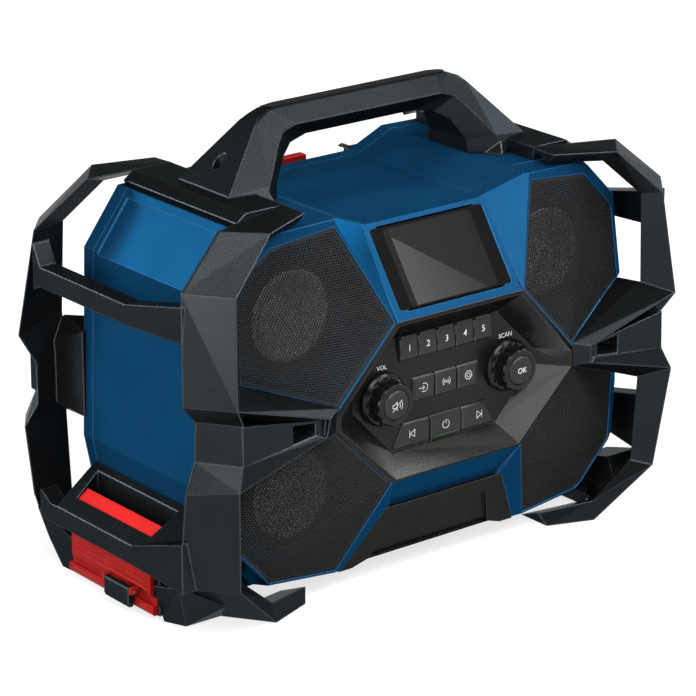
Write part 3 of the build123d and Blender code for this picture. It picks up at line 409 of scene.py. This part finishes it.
def make_materials(finish):
    housing = tuple(finish.housing)
    black = tuple(finish.frame_black)
    MATERIALS.update({
        "housing": moulded("blue_moulding", housing, roughness=0.27, scuff_and_highlight=2.6, edge=0.0012,
                           sheen=0.28, rim=0.8),
        "frame": moulded("black_moulding", black, roughness=0.26, scuff_and_highlight=2.6, edge=0.0016,
                         sheen=0.75),
        "console": moulded("console_moulding", (0.024, 0.024, 0.023), roughness=0.26, scuff_and_highlight=2.6,
                           sheen=0.75),
        "keys": moulded("key_moulding", (0.040, 0.040, 0.038), roughness=0.30, grain=2500.0,
                        bump=0.12, scuff_and_highlight=2.2, edge=0.0004),
        "knob": moulded("knob_moulding", (0.006, 0.006, 0.006), roughness=0.20, grain=2500.0,
                        bump=0.08, specular=0.5, sheen=0.2),
        "accent": moulded("red_moulding", tuple(finish.accent), roughness=0.34, scuff_and_highlight=1.15,
                          specular=0.04, sheen=0.15),
        # The ramp's red is the accent made 2.3 times paler: painted light, so that the ramp shows
        # bright down in its recess.
        "pocket": moulded("pocket_red_painted_light", tuple(2.3 * c for c in finish.accent), scuff_and_highlight=1.15,
                          specular=0.04, sheen=0.15),
        "grip": soft_rubber("grip_overlay", (0.007, 0.007, 0.008), specular=0.12),
        "rubber": soft_rubber("pad_rubber", (0.012, 0.012, 0.012)),
        "grille": moulded("grille_paint", (0.032, 0.033, 0.034), roughness=0.34, bump=0.1,
                          edge=0.0001),
        "basket": moulded("driver_basket", (0.020, 0.020, 0.021), roughness=0.4),
        "cone": pressed_paper("driver_cone", (0.48, 0.45, 0.41)),
        "bezel": moulded("bezel_gloss", (0.006, 0.006, 0.006), roughness=0.14, bump=0.02,
                         sheen=0.1),
        "glass": glass_with_painted_reflection("screen_glass", *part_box("display_lens")),
        "panel": moulded("screen_panel", (0.03, 0.03, 0.034), roughness=0.2, bump=0.02),
        "steel": brushed_metal("pin_steel", (0.56, 0.56, 0.58)),
        "black_steel": brushed_metal("screw_steel", (0.10, 0.10, 0.105), 0.36),
        "chrome": brushed_metal("rod_chrome", (0.80, 0.80, 0.82), 0.14),
        "brass": brushed_metal("contact_brass", (0.72, 0.52, 0.24), 0.28),
        "board": printed_board("solder_mask", (0.010, 0.090, 0.035)),
        "ink": printed_ink("legend_ink", tuple(finish.legend)),
        "lamp": lit_strip("power_light", (0.003, 0.030, 0.011), 0.05),
    })


# ------------------------------------------------------------------------ mesh helpers


def placed(name, data):
    """A new object in the scene."""
    piece = bpy.data.objects.new(name, data)
    bpy.context.scene.collection.objects.link(piece)
    return piece


def finished(mesh, material):
    """Gives a whole mesh one finish."""
    mesh.materials.clear()
    mesh.materials.append(MATERIALS[material])


def add_object(name, mesh, material, body):
    """Puts a finished mesh in the scene and lets it ride on its body."""
    piece = placed(name, mesh)
    finished(mesh, material)
    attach(piece, body)
    return piece


def applied(piece):
    """The mesh a piece has with its modifiers, as plain mesh data."""
    graph = bpy.context.evaluated_depsgraph_get()
    return bpy.data.meshes.new_from_object(piece.evaluated_get(graph))


def finish_modifiers(piece):
    """Turns a piece's modifiers into its own mesh."""
    mesh = applied(piece)
    piece.modifiers.clear()
    old = piece.data
    piece.data = mesh
    bpy.data.meshes.remove(old)


def welded_copy(node, whole_faces):
    """A copy of a CAD node's mesh with shared corners, and with whole flat faces if asked."""
    mesh = frame["nodes"][node].data.copy()
    work = bmesh.new()
    work.from_mesh(mesh)
    bmesh.ops.remove_doubles(work, verts=work.verts, dist=WELD_GAP)
    if whole_faces:
        bmesh.ops.dissolve_limit(work, angle_limit=math.radians(0.5), verts=work.verts,
                                 edges=work.edges, delimit=set())
    work.to_mesh(mesh)
    work.free()
    return mesh


def body_name(node):
    return frame["nodes"][node]["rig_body"]


def round_edges(piece, width, segments):
    """Rounds a piece's edges with real geometry."""
    bevel = piece.modifiers.new("rounding", "BEVEL")
    bevel.width = width
    bevel.segments = segments
    bevel.limit_method = "ANGLE"
    bevel.angle_limit = math.radians(14.0)
    bevel.use_clamp_overlap = False
    bevel.miter_outer = "MITER_SHARP"
    shading = piece.modifiers.new("shading", "WEIGHTED_NORMAL")
    shading.keep_sharp = True
    finish_modifiers(piece)


def dressed(node, material, width=0.0, segments=2, flat=22.0):
    """A CAD node's copy with its finish, standing in for the plain one. Faces that meet at more
    than `flat` degrees are shaded apart, and edges are rounded where a width is given."""
    mesh = welded_copy(node, width > 0)
    piece = placed(node + "_moulding", mesh)
    finished(mesh, material)
    for face in mesh.polygons:
        face.use_smooth = True
        face.material_index = 0
    mesh.set_sharp_from_angle(angle=math.radians(flat))
    if width > 0:
        round_edges(piece, width, segments)
    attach(piece, body_name(node))
    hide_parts(node)


def paint(node, material):
    """Gives a CAD node that keeps its own shape its finish."""
    finished(frame["nodes"][node].data, material)


# ------------------------------------------------------------------------ perforated grilles


def lattice(tree, outline, pitch):
    """Points over the box round the outline, with every other row half a pitch along."""
    box = add_node(tree, "GeometryNodeBoundBox", {"Geometry": outline})
    low = add_node(tree, "ShaderNodeSeparateXYZ", {0: box.outputs["Min"]}).outputs
    high = add_node(tree, "ShaderNodeSeparateXYZ", {0: box.outputs["Max"]}).outputs

    def maths(operation, *values):
        return arithmetic(tree, operation, *values)

    def count(axis, step):
        size = maths("SUBTRACT", high[axis], low[axis])
        return maths("ADD", maths("CEIL", maths("DIVIDE", size, step)), 2)

    def length(points, step):
        return maths("MULTIPLY", maths("SUBTRACT", points, 1), step)

    def middle(axis):
        return maths("MULTIPLY", maths("ADD", low[axis], high[axis]), 0.5)

    row = maths("MULTIPLY", pitch, ROOT_3 / 2.0)
    columns, rows = count("X", pitch), count("Z", row)
    grid = add_node(tree, "GeometryNodeMeshGrid", {
        "Size X": length(columns, pitch), "Size Y": length(rows, row),
        "Vertices X": columns, "Vertices Y": rows})
    index = add_node(tree, "GeometryNodeInputIndex").outputs[0]
    odd = maths("MODULO", maths("MODULO", index, rows), 2)
    half_pitch = maths("MULTIPLY", maths("MULTIPLY", odd, 0.5), pitch)
    step = add_node(tree, "ShaderNodeCombineXYZ", {"X": half_pitch})
    stagger = add_node(tree, "GeometryNodeSetPosition",
                       {"Geometry": grid.outputs["Mesh"], "Offset": step.outputs[0]})
    centre = add_node(tree, "ShaderNodeCombineXYZ",
                      {"X": middle("X"), "Y": low["Y"], "Z": middle("Z")})
    stand = add_node(tree, "GeometryNodeTransform", {
        "Geometry": stagger.outputs["Geometry"], "Translation": centre.outputs[0],
        "Rotation": UPRIGHT})
    return stand.outputs["Geometry"]


def trimmed(tree, points, outline, margin):
    """The points that are inside the outline and clear of its edge by a margin."""
    place = add_node(tree, "GeometryNodeInputPosition").outputs[0]
    before = add_node(tree, "ShaderNodeVectorMath", {0: place, 1: (0.0, -0.01, 0.0)},
                      operation="ADD")
    inside = add_node(tree, "GeometryNodeRaycast", {
        "Target Geometry": outline, "Source Position": before.outputs[0],
        "Ray Direction": BACKWARD, "Ray Length": 1.0})
    near = add_node(tree, "GeometryNodeProximity", {0: outline}, target_element="EDGES")
    clear = add_node(tree, "FunctionNodeCompare", {0: near.outputs["Distance"], 1: margin},
                     data_type="FLOAT", operation="GREATER_THAN")
    outside = add_node(tree, "FunctionNodeBooleanMath",
                       {0: inside.outputs["Is Hit"], 1: clear.outputs[0]}, operation="NAND")
    trim = add_node(tree, "GeometryNodeDeleteGeometry",
                    {"Geometry": points, "Selection": outside.outputs[0]}, domain="POINT")
    return trim.outputs["Geometry"]


def hexagon_cell(tree, pitch, hole):
    """One upright hexagon of the sheet, with a hole in its middle."""
    radius = arithmetic(tree, "DIVIDE", pitch, ROOT_3)
    full = add_node(tree, "GeometryNodeMeshCircle", {"Vertices": 6, "Radius": radius},
                    fill_type="NGON")
    lift = add_node(tree, "GeometryNodeExtrudeMesh",
                    {"Mesh": full.outputs["Mesh"], "Offset Scale": 0.0}, mode="FACES")
    middle = lift.outputs["Top"]
    ratio = arithmetic(tree, "DIVIDE", arithmetic(tree, "MULTIPLY", hole, 0.5), radius)
    shrink = add_node(tree, "GeometryNodeScaleElements", {
        "Geometry": lift.outputs["Mesh"], "Selection": middle, "Scale": ratio}, domain="FACE")
    opened = add_node(tree, "GeometryNodeDeleteGeometry",
                      {"Geometry": shrink.outputs["Geometry"], "Selection": middle},
                      domain="FACE", mode="ONLY_FACE")
    stand = add_node(tree, "GeometryNodeTransform", {
        "Geometry": opened.outputs["Geometry"],
        "Rotation": (UPRIGHT[0], math.radians(30), 0.0)})
    return stand.outputs["Geometry"]


def welded(tree, mesh, gap):
    """A mesh with the corners that are closer than a gap made one."""
    weld = add_node(tree, "GeometryNodeMergeByDistance", {"Geometry": mesh, "Distance": gap})
    return weld.outputs["Geometry"]


def laid_on(tree, mesh, folded):
    """A mesh with every corner moved back onto the folded sheet."""
    sheet = add_node(tree, "GeometryNodeObjectInfo", {"Object": folded})
    landing = add_node(tree, "GeometryNodeRaycast", {
        "Target Geometry": sheet.outputs["Geometry"], "Ray Direction": BACKWARD,
        "Ray Length": 1.0})
    lay = add_node(tree, "GeometryNodeSetPosition", {
        "Geometry": mesh, "Position": landing.outputs["Hit Position"],
        "Selection": landing.outputs["Is Hit"]})
    return lay.outputs["Geometry"]


def thickened(tree, skin, thickness):
    """The front skin with a back skin and the walls of the holes."""
    offset = add_node(tree, "ShaderNodeCombineXYZ", {"Y": thickness})
    turned = add_node(tree, "GeometryNodeFlipFaces", {"Mesh": skin})
    back = add_node(tree, "GeometryNodeExtrudeMesh", {
        "Mesh": turned.outputs["Mesh"], "Offset": offset.outputs[0], "Offset Scale": 1.0,
        "Individual": False}, mode="FACES")
    both = add_node(tree, "GeometryNodeJoinGeometry", {"Geometry": back.outputs["Mesh"]})
    fill(tree, both, {"Geometry": skin})
    return welded(tree, both.outputs["Geometry"], 0.00002)


def perforation_tree():
    """Geometry nodes: hexagonal cells with a hole, laid over a flat outline and let down
    onto the folded sheet, then thickened."""
    tree = bpy.data.node_groups.new("perforated_sheet", "GeometryNodeTree")
    for name, kind in (("Outline", "Geometry"), ("Pitch", "Float"), ("Hole", "Float"),
                       ("Sheet", "Float"), ("Margin", "Float"), ("Folded", "Object"),
                       ("Finish", "Material")):
        tree.interface.new_socket(name, in_out="INPUT", socket_type="NodeSocket" + kind)
    tree.interface.new_socket("Mesh", in_out="OUTPUT", socket_type="NodeSocketGeometry")
    given = add_node(tree, "NodeGroupInput").outputs
    points = lattice(tree, given["Outline"], given["Pitch"])
    repeat = add_node(tree, "GeometryNodeInstanceOnPoints", {
        "Points": trimmed(tree, points, given["Outline"], given["Margin"]),
        "Instance": hexagon_cell(tree, given["Pitch"], given["Hole"])})
    cells = add_node(tree, "GeometryNodeRealizeInstances",
                     {"Geometry": repeat.outputs["Instances"]})
    flat = welded(tree, cells.outputs["Geometry"], WELD_GAP)
    solid = thickened(tree, laid_on(tree, flat, given["Folded"]), given["Sheet"])
    coat = add_node(tree, "GeometryNodeSetMaterial",
                    {"Geometry": solid, "Material": given["Finish"]})
    add_node(tree, "NodeGroupOutput", {"Mesh": coat.outputs["Geometry"]})
    return tree


def set_inputs(modifier, **values):
    """Sets a geometry nodes modifier's inputs by the names on the tree."""
    for item in modifier.node_group.interface.items_tree:
        if item.item_type == "SOCKET" and item.in_out == "INPUT" and item.name in values:
            modifier[item.identifier] = values[item.name]


def outline_mesh(outline, side):
    """A flat face with a grille's outline, in front of it."""
    points = [(side * x * MM, GRILLE_FRONT * MM, z * MM) for x, z in outline]
    if side < 0:
        points.reverse()
    mesh = bpy.data.meshes.new("outline")
    mesh.from_pydata(points, [], [list(range(len(points)))])
    return mesh


def left_of(way):
    """A flat direction turned a quarter to the left."""
    return Vector((-way.y, way.x))


def moved_in(outline, amount):
    """An outline's corners, moved in by an amount all round."""
    corners = [Vector(corner) for corner in outline]
    following = corners[1:] + corners[:1]
    area = sum(here.x * after.y - after.x * here.y for here, after in zip(corners, following))
    turn = math.copysign(1.0, area)
    moved = []
    for before, here, after in zip(corners[-1:] + corners, corners, following):
        first = left_of((here - before).normalized()) * turn
        second = left_of((after - here).normalized()) * turn
        bisector = (first + second).normalized()
        moved.append(here + bisector * (amount / bisector.dot(first)))
    return moved


def border_mesh(outline, side, sheet, band, thickness):
    """The plain folded band along a grille's rim."""
    outer = moved_in(outline, RIM_GAP)
    inner = moved_in(outline, band / MM)
    count = len(outline)
    pairs = []
    for n in range(count):
        m = (n + 1) % count
        steps = max(2, int((outer[m] - outer[n]).length / RIM_STEP))
        pairs += [(outer[n].lerp(outer[m], k / steps), inner[n].lerp(inner[m], k / steps))
                  for k in range(steps)]
    work = bmesh.new()
    work.from_mesh(sheet)
    surface = BVHTree.FromBMesh(work)
    work.free()

    def spot(point, lift):
        """A place on the folded sheet, behind a point of the outline."""
        x, z = side * point.x * MM, point.y * MM
        landing = surface.ray_cast(Vector((x, RAY_START * MM, z)), Vector(BACKWARD))[0]
        y = landing.y if landing else BAND_Y * MM
        return (x, y + lift, z)

    points = []
    for a, b in pairs:
        points += [spot(a, -BAND_LIFT), spot(b, -BAND_LIFT), spot(b, thickness),
                   spot(a, thickness)]
    faces = []
    for n in range(len(pairs)):
        m = (n + 1) % len(pairs)
        for k in range(4):
            j = (k + 1) % 4
            faces.append([4 * n + k, 4 * n + j, 4 * m + j, 4 * m + k])
    mesh = bpy.data.meshes.new("border")
    mesh.from_pydata(points, [], faces)
    work = bmesh.new()
    work.from_mesh(mesh)
    bmesh.ops.recalc_face_normals(work, faces=work.faces)
    work.to_mesh(mesh)
    work.free()
    return mesh


# ------------------------------------------------------------------------ legends


def text_mesh(words, size, x, y, z):
    """Printed words that face the front, centred on a point; sizes in metres."""
    curve = bpy.data.curves.new("words", "FONT")
    curve.body = words
    curve.size = size
    curve.extrude = INK_DEPTH / 2
    curve.align_x = "CENTER"
    curve.align_y = "CENTER"
    curve.resolution_u = 6
    holder = placed("words", curve)
    mesh = applied(holder)
    bpy.data.objects.remove(holder)
    mesh.transform(Matrix.Translation((x, y, z)) @ Matrix.Rotation(math.pi / 2, 4, "X"))
    return mesh


def stroke_sides(dots, closed, width):
    """The two points beside each dot of a line, half a width out on either side."""
    last = len(dots) - 1
    sides = []
    for n, dot in enumerate(dots):
        before = dots[n - 1] if closed or n > 0 else dot
        after = dots[(n + 1) % len(dots)] if closed or n < last else dot
        if closed or 0 < n < last:
            first = (dot - before).normalized()
            across = left_of(first + (after - dot).normalized()).normalized()
            reach = width / 2 / max(SHARPEST, across.dot(left_of(first)))
        else:
            across = left_of((after - before).normalized())
            reach = width / 2
        sides.append((dot + across * reach, dot - across * reach))
    return sides


def strokes_mesh(lines, width, x, y, z, depth=INK_DEPTH):
    """A mark drawn with strokes of one width: lists of (x, z) in millimetres round a point. A
    line that ends where it starts is closed."""
    work = bmesh.new()
    for line in lines:
        closed = line[0] == line[-1]
        sides = stroke_sides([Vector(p) for p in (line[:-1] if closed else line)], closed, width)
        following = sides[1:] + sides[:1] if closed else sides[1:]
        for here, after in zip(sides, following):
            corners = [(x + p.x * MM, z + p.y * MM)
                       for p in (here[0], after[0], after[1], here[1])]
            front = [work.verts.new((px, y - depth / 2, pz)) for px, pz in corners]
            back = [work.verts.new((px, y + depth / 2, pz)) for px, pz in corners]
            work.faces.new(front)
            work.faces.new(list(reversed(back)))
            for k in range(4):
                j = (k + 1) % 4
                work.faces.new([front[k], back[k], back[j], front[j]])
    bmesh.ops.recalc_face_normals(work, faces=work.faces)
    mesh = bpy.data.meshes.new("strokes")
    work.to_mesh(mesh)
    work.free()
    return mesh


def point_at(radius, degrees):
    return (radius * math.cos(math.radians(degrees)), radius * math.sin(math.radians(degrees)))


def arc(radius, start, end, steps=20):
    """Points along a circle, between two angles in degrees."""
    return [point_at(radius, start + (end - start) * n / steps) for n in range(steps + 1)]


def gear(inner, outer, teeth):
    """A closed ring that goes out and in between two radii."""
    ring = [point_at(outer if n % 2 else inner, 180.0 * n / teeth) for n in range(2 * teeth)]
    return ring + ring[:1]


def joined(name, meshes):
    """Several meshes as one."""
    work = bmesh.new()
    for mesh in meshes:
        work.from_mesh(mesh)
        bpy.data.meshes.remove(mesh)
    whole = bpy.data.meshes.new(name)
    work.to_mesh(whole)
    work.free()
    return whole


# Marks as strokes: lists of (x, z) in millimetres round the middle of the key.
PREVIOUS_MARK = [[(-2.2, 2.6), (-2.2, -2.6)], [(2.2, 2.6), (-1.6, 0), (2.2, -2.6), (2.2, 2.6)]]
KEY_MARKS = {
    "source_key": [arc(3.0, -130, 110), [(-4.6, 0), (0.2, 0)],
                   [(-1.2, 1.5), (0.4, 0), (-1.2, -1.5)]],
    "pairing_key": [arc(1.6, -50, 50), arc(3.2, -50, 50), arc(0.4, 0, 360, 8),
                    arc(1.6, 130, 230), arc(3.2, 130, 230)],
    "settings_key": [arc(1.4, 0, 360, 16), gear(2.688, 3.2, 8)],
    "previous_key": PREVIOUS_MARK,
    "power_key": [arc(2.9, 115, 425), [(0, 0.4), (0, 3.4)]],
    "next_key": [[(-x, z) for x, z in line] for line in PREVIOUS_MARK],
}
MUTE_MARK = [[(-4.2, -1.1), (-4.2, 1.1), (-2.6, 1.1), (-0.6, 2.8), (-0.6, -2.8), (-2.6, -1.1),
              (-4.2, -1.1)],
             arc(2.2, -45, 45), arc(4.0, -45, 45), [(-4.4, -3.8), (3.6, 3.6)]]


# ------------------------------------------------------------------------ operators


class RadioOperator(bpy.types.Operator):
    """Shared by the operators that make the radio's pieces."""

    bl_options = {"REGISTER", "UNDO"}

    @property
    def edges(self):
        """The scene's edge settings."""
        return bpy.context.scene.radio_edges


class RADIO_OT_stage(RadioOperator):
    """Camera, pale floor and soft studio light"""

    bl_idname = "radio.stage"
    bl_label = "Stage"

    def execute(self, context):
        scene = context.scene
        data = bpy.data.cameras.new("camera")
        data.lens = 171.36
        data.sensor_width = 36.0
        data.clip_end = 30.0
        camera = placed("camera", data)
        camera.location = (-1.3526, -1.6938, 0.9047)
        camera.rotation_euler = (math.radians(70.425), 0.0, math.radians(-38.538))
        scene.camera = camera
        self.floor()
        self.lights()
        self.world(scene)
        scene.view_settings.view_transform = "Standard"
        return {"FINISHED"}

    def floor(self):
        """A floor that the light meets as grey. Seen directly it glows, nearly white round the
        radio and white far off."""
        mesh = bpy.data.meshes.new("floor")
        mesh.from_pydata([(x * FLOOR_REACH, y * FLOOR_REACH, 0.0)
                          for x, y in ((-1, -1), (1, -1), (1, 1), (-1, 1))], [], [[0, 1, 2, 3]])
        material, tree, shader = new_material("floor", (0.32, 0.32, 0.32), 0.8, specular=0.0)
        fill(tree, shader, {
            "Base Color": add_ramp(tree, add_noise(tree, 2.0), grey(0.30), grey(0.34))})
        away = add_node(tree, "ShaderNodeVectorMath", {0: on_object(tree)}, operation="LENGTH")
        share = arithmetic(tree, "DIVIDE", away.outputs["Value"], FLOOR_REACH)
        glow = add_node(tree, "ShaderNodeEmission", {
            "Color": add_ramp(tree, share, grey(0.74), grey(1.0), 0.12, 0.40)})
        both = add_node(tree, "ShaderNodeAddShader", {0: shader.outputs[0], 1: glow.outputs[0]})
        mix = add_node(tree, "ShaderNodeMixShader", {
            0: seen_directly(tree), 1: shader.outputs[0], 2: both.outputs[0]})
        fill(tree, tree.nodes["Material Output"], {"Surface": mix.outputs[0]})
        mesh.materials.append(material)
        placed("floor", mesh)

    def lights(self):
        """Softboxes round the radio, all turned towards it."""
        for name, around, up, wide, tall, power in SOFTBOXES:
            data = bpy.data.lights.new(name, "AREA")
            data.energy = power
            data.shape = "RECTANGLE"
            data.size = wide
            data.size_y = tall
            turn, rise = math.radians(around), math.radians(up)
            way = Vector((math.sin(turn) * math.cos(rise), -math.cos(turn) * math.cos(rise),
                          math.sin(rise)))
            light = placed(name, data)
            light.location = Vector(LIGHTS_AIM) + way * LIGHTS_DISTANCE
            light.rotation_euler = way.to_track_quat("Z", "Y").to_euler()

    def world(self, scene):
        """White at and below the horizon, and nearly black above it."""
        world = bpy.data.worlds.new("studio")
        world.use_nodes = True
        scene.world = world
        tree = world.node_tree
        tree.nodes.clear()
        way = add_node(tree, "ShaderNodeTexCoord").outputs["Generated"]
        height = add_node(tree, "ShaderNodeSeparateXYZ", {0: way}).outputs["Z"]
        sky = add_node(tree, "ShaderNodeBackground", {
            "Color": add_ramp(tree, height, grey(1.0), grey(0.05), 0.11, 0.20)})
        add_node(tree, "ShaderNodeOutputWorld", {"Surface": sky.outputs[0]})


class RADIO_OT_housing(RadioOperator):
    """Blue housing and rear cover"""

    bl_idname = "radio.housing"
    bl_label = "Housing"

    def execute(self, context):
        dressed("front_housing", "housing", flat=CRISP)
        dressed("rear_cover", "housing", flat=CRISP)
        return {"FINISHED"}


class RADIO_OT_frames(RadioOperator):
    """Guard frames and the rubber pads in their toes"""

    bl_idname = "radio.frames"
    bl_label = "Guard frames"

    def execute(self, context):
        for node in ("left_frame", "right_frame"):
            dressed(node, "frame", flat=CRISP)
        dressed("foot_pads", "rubber", self.edges.small)
        return {"FINISHED"}


class RADIO_OT_handle(RadioOperator):
    """Carry handle, its soft overlay and its screws"""

    bl_idname = "radio.handle"
    bl_label = "Handle"

    def execute(self, context):
        dressed("handle_bar", "frame", flat=8.0)
        dressed("handle_grip", "grip", self.edges.small * 2)
        paint("handle_screws", "black_steel")
        return {"FINISHED"}


class RADIO_OT_console(RadioOperator):
    """Console mask, apron, printed words and what is behind the plate"""

    bl_idname = "radio.console"
    bl_label = "Console"

    def execute(self, context):
        dressed("console_mask", "console", flat=CRISP)
        dressed("front_skirt", "console", flat=CRISP)
        y = PLATE_Y * MM - INK_LIFT
        words = [text_mesh(word, size * MM, x * MM, y, z * MM)
                 for word, size, x, z in CONSOLE_WORDS]
        add_object("console_words", joined("console_words", words), "ink", "case")
        paint("key_mat", "rubber")
        paint("control_board", "board")
        paint("volume_encoder", "steel")
        paint("scan_encoder", "steel")
        return {"FINISHED"}


class RADIO_OT_keys(RadioOperator):
    """Keys and the marks on them"""

    bl_idname = "radio.keys"
    bl_label = "Keys"

    def execute(self, context):
        for node in KEYS:
            edge = self.edges.small if node == "power_key" else self.edges.keys
            dressed(node, "keys", edge, segments=1)
            low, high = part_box(node)
            x, z = (low.x + high.x) / 2, (low.z + high.z) / 2
            y = low.y - INK_LIFT
            if node in PRESETS:
                mark = text_mesh(node[-1], DIGIT_SIZE * MM, x, y, z)
            else:
                mark = strokes_mesh(KEY_MARKS[node], KEY_STROKE, x, y, z)
            add_object(node + "_mark", mark, "ink", node)
        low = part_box("power_key")[0]
        strip = strokes_mesh([[(-10.0, 0), (10.0, 0)]], LIGHT_STROKE, 0.0, low.y - LIGHT_LIFT,
                             low.z + LIGHT_UP * MM, LIGHT_DEPTH)
        add_object("power_light", strip, "lamp", "power_key")
        return {"FINISHED"}


class RADIO_OT_knobs(RadioOperator):
    """Fluted knobs, the push caps in their faces and the marks on those"""

    bl_idname = "radio.knobs"
    bl_label = "Knobs"

    def execute(self, context):
        for node in KNOBS:
            dressed(node, "knob", self.edges.small)
        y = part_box("mute_button")[0].y - INK_LIFT
        z = KNOB_Z * MM
        dressed("mute_button", "keys", self.edges.small)
        mark = strokes_mesh(MUTE_MARK, MUTE_STROKE, KNOBS["volume_knob"] * MM, y, z)
        add_object("mute_mark", mark, "ink", "mute_button")
        dressed("ok_button", "keys", self.edges.small)
        mark = text_mesh("OK", OK_SIZE * MM, KNOBS["scan_knob"] * MM, y, z)
        add_object("ok_mark", mark, "ink", "ok_button")
        return {"FINISHED"}


class RADIO_OT_display(RadioOperator):
    """Gloss bezel, glass and panel"""

    bl_idname = "radio.display"
    bl_label = "Display"

    def execute(self, context):
        dressed("display_bezel", "bezel", self.edges.small)
        dressed("display_lens", "glass")
        paint("display_module", "panel")
        return {"FINISHED"}


class RADIO_OT_grilles(RadioOperator):
    """Perforated, folded grilles"""

    bl_idname = "radio.grilles"
    bl_label = "Grilles"

    def execute(self, context):
        sizes = context.scene.radio_grille
        tree = perforation_tree()
        for node, (outline, side) in GRILLES.items():
            folded = frame["nodes"][node]
            holder = placed(node + "_holder", outline_mesh(outline, side))
            modifier = holder.modifiers.new("perforation", "NODES")
            modifier.node_group = tree
            # The outermost cells lie partly under the plain band.
            set_inputs(modifier, Pitch=sizes.pitch, Hole=sizes.hole, Sheet=sizes.sheet,
                       Margin=sizes.border * 0.75, Folded=folded, Finish=MATERIALS["grille"])
            holes = applied(holder)
            bpy.data.objects.remove(holder)
            band = border_mesh(outline, side, folded.data, sizes.border, sizes.sheet)
            whole = joined(node + "_sheet", [holes, band])
            piece = add_object(node + "_sheet", whole, "grille", "case")
            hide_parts(node)
        return {"FINISHED"}


class RADIO_OT_speakers(RadioOperator):
    """Drivers behind the grilles"""

    bl_idname = "radio.speakers"
    bl_label = "Drivers"

    def execute(self, context):
        for corner in CORNERS:
            paint(f"speaker_basket_{corner}", "basket")
            paint(f"speaker_cone_{corner}", "cone")
        paint("speaker_magnets", "steel")
        return {"FINISHED"}


class RADIO_OT_side_door(RadioOperator):
    """Pocket ramp, side door, latch and sill on the left"""

    bl_idname = "radio.side_door"
    bl_label = "Side door"

    def execute(self, context):
        # The ramp takes the paler red, which is painted light.
        dressed("pocket_ramp", "pocket", self.edges.small)
        for node in ("side_door", "door_sill"):
            dressed(node, "accent", self.edges.small)
        dressed("door_latch", "frame", self.edges.small)
        paint("door_hinge_pin", "steel")
        paint("latch_pin", "steel")
        return {"FINISHED"}


class RADIO_OT_rear(RadioOperator):
    """Battery bay, door and catch, antenna and screws at the back"""

    bl_idname = "radio.rear"
    bl_label = "Rear"

    def execute(self, context):
        dressed("battery_door", "frame", self.edges.small * 2)
        dressed("battery_door_latch", "accent", self.edges.small * 2)
        dressed("battery_bay", "frame")
        dressed("antenna_base", "frame", self.edges.small)
        dressed("rod_antenna", "chrome")
        paint("battery_contacts", "brass")
        paint("battery_door_pin", "steel")
        paint("housing_screws", "black_steel")
        paint("amplifier_board", "board")
        return {"FINISHED"}


# ------------------------------------------------------------------------ panel and main


STEPS = ("stage", "housing", "frames", "handle", "console", "keys", "knobs", "display",
         "grilles", "speakers", "side_door", "rear")


class RADIO_PT_panel(bpy.types.Panel):
    """Lists the steps that dress the radio"""

    bl_label = "Radio"
    bl_idname = "RADIO_PT_panel"
    bl_space_type = "VIEW_3D"
    bl_region_type = "UI"
    bl_category = "Radio"

    def draw(self, context):
        layout = self.layout
        for group in ("radio_finish", "radio_grille", "radio_edges"):
            settings = getattr(context.scene, group)
            for name in settings.bl_rna.properties.keys():
                if name not in ("rna_type", "name"):
                    layout.prop(settings, name)
        for step in STEPS:
            layout.operator(f"radio.{step}")


CLASSES = (FinishSettings, GrilleSettings, EdgeSettings, RADIO_OT_stage, RADIO_OT_housing,
           RADIO_OT_frames, RADIO_OT_handle, RADIO_OT_console, RADIO_OT_keys, RADIO_OT_knobs,
           RADIO_OT_display, RADIO_OT_grilles, RADIO_OT_speakers, RADIO_OT_side_door,
           RADIO_OT_rear, RADIO_PT_panel)


def register():
    for item in CLASSES:
        bpy.utils.register_class(item)
    bpy.types.Scene.radio_finish = bpy.props.PointerProperty(type=FinishSettings)
    bpy.types.Scene.radio_grille = bpy.props.PointerProperty(type=GrilleSettings)
    bpy.types.Scene.radio_edges = bpy.props.PointerProperty(type=EdgeSettings)


def unregister():
    for name in ("radio_finish", "radio_grille", "radio_edges"):
        delattr(bpy.types.Scene, name)
    for item in reversed(CLASSES):
        bpy.utils.unregister_class(item)


def main():
    register()
    make_materials(bpy.context.scene.radio_finish)
    for step in STEPS:
        getattr(bpy.ops.radio, step)()


if __name__ == "__main__":
    main()
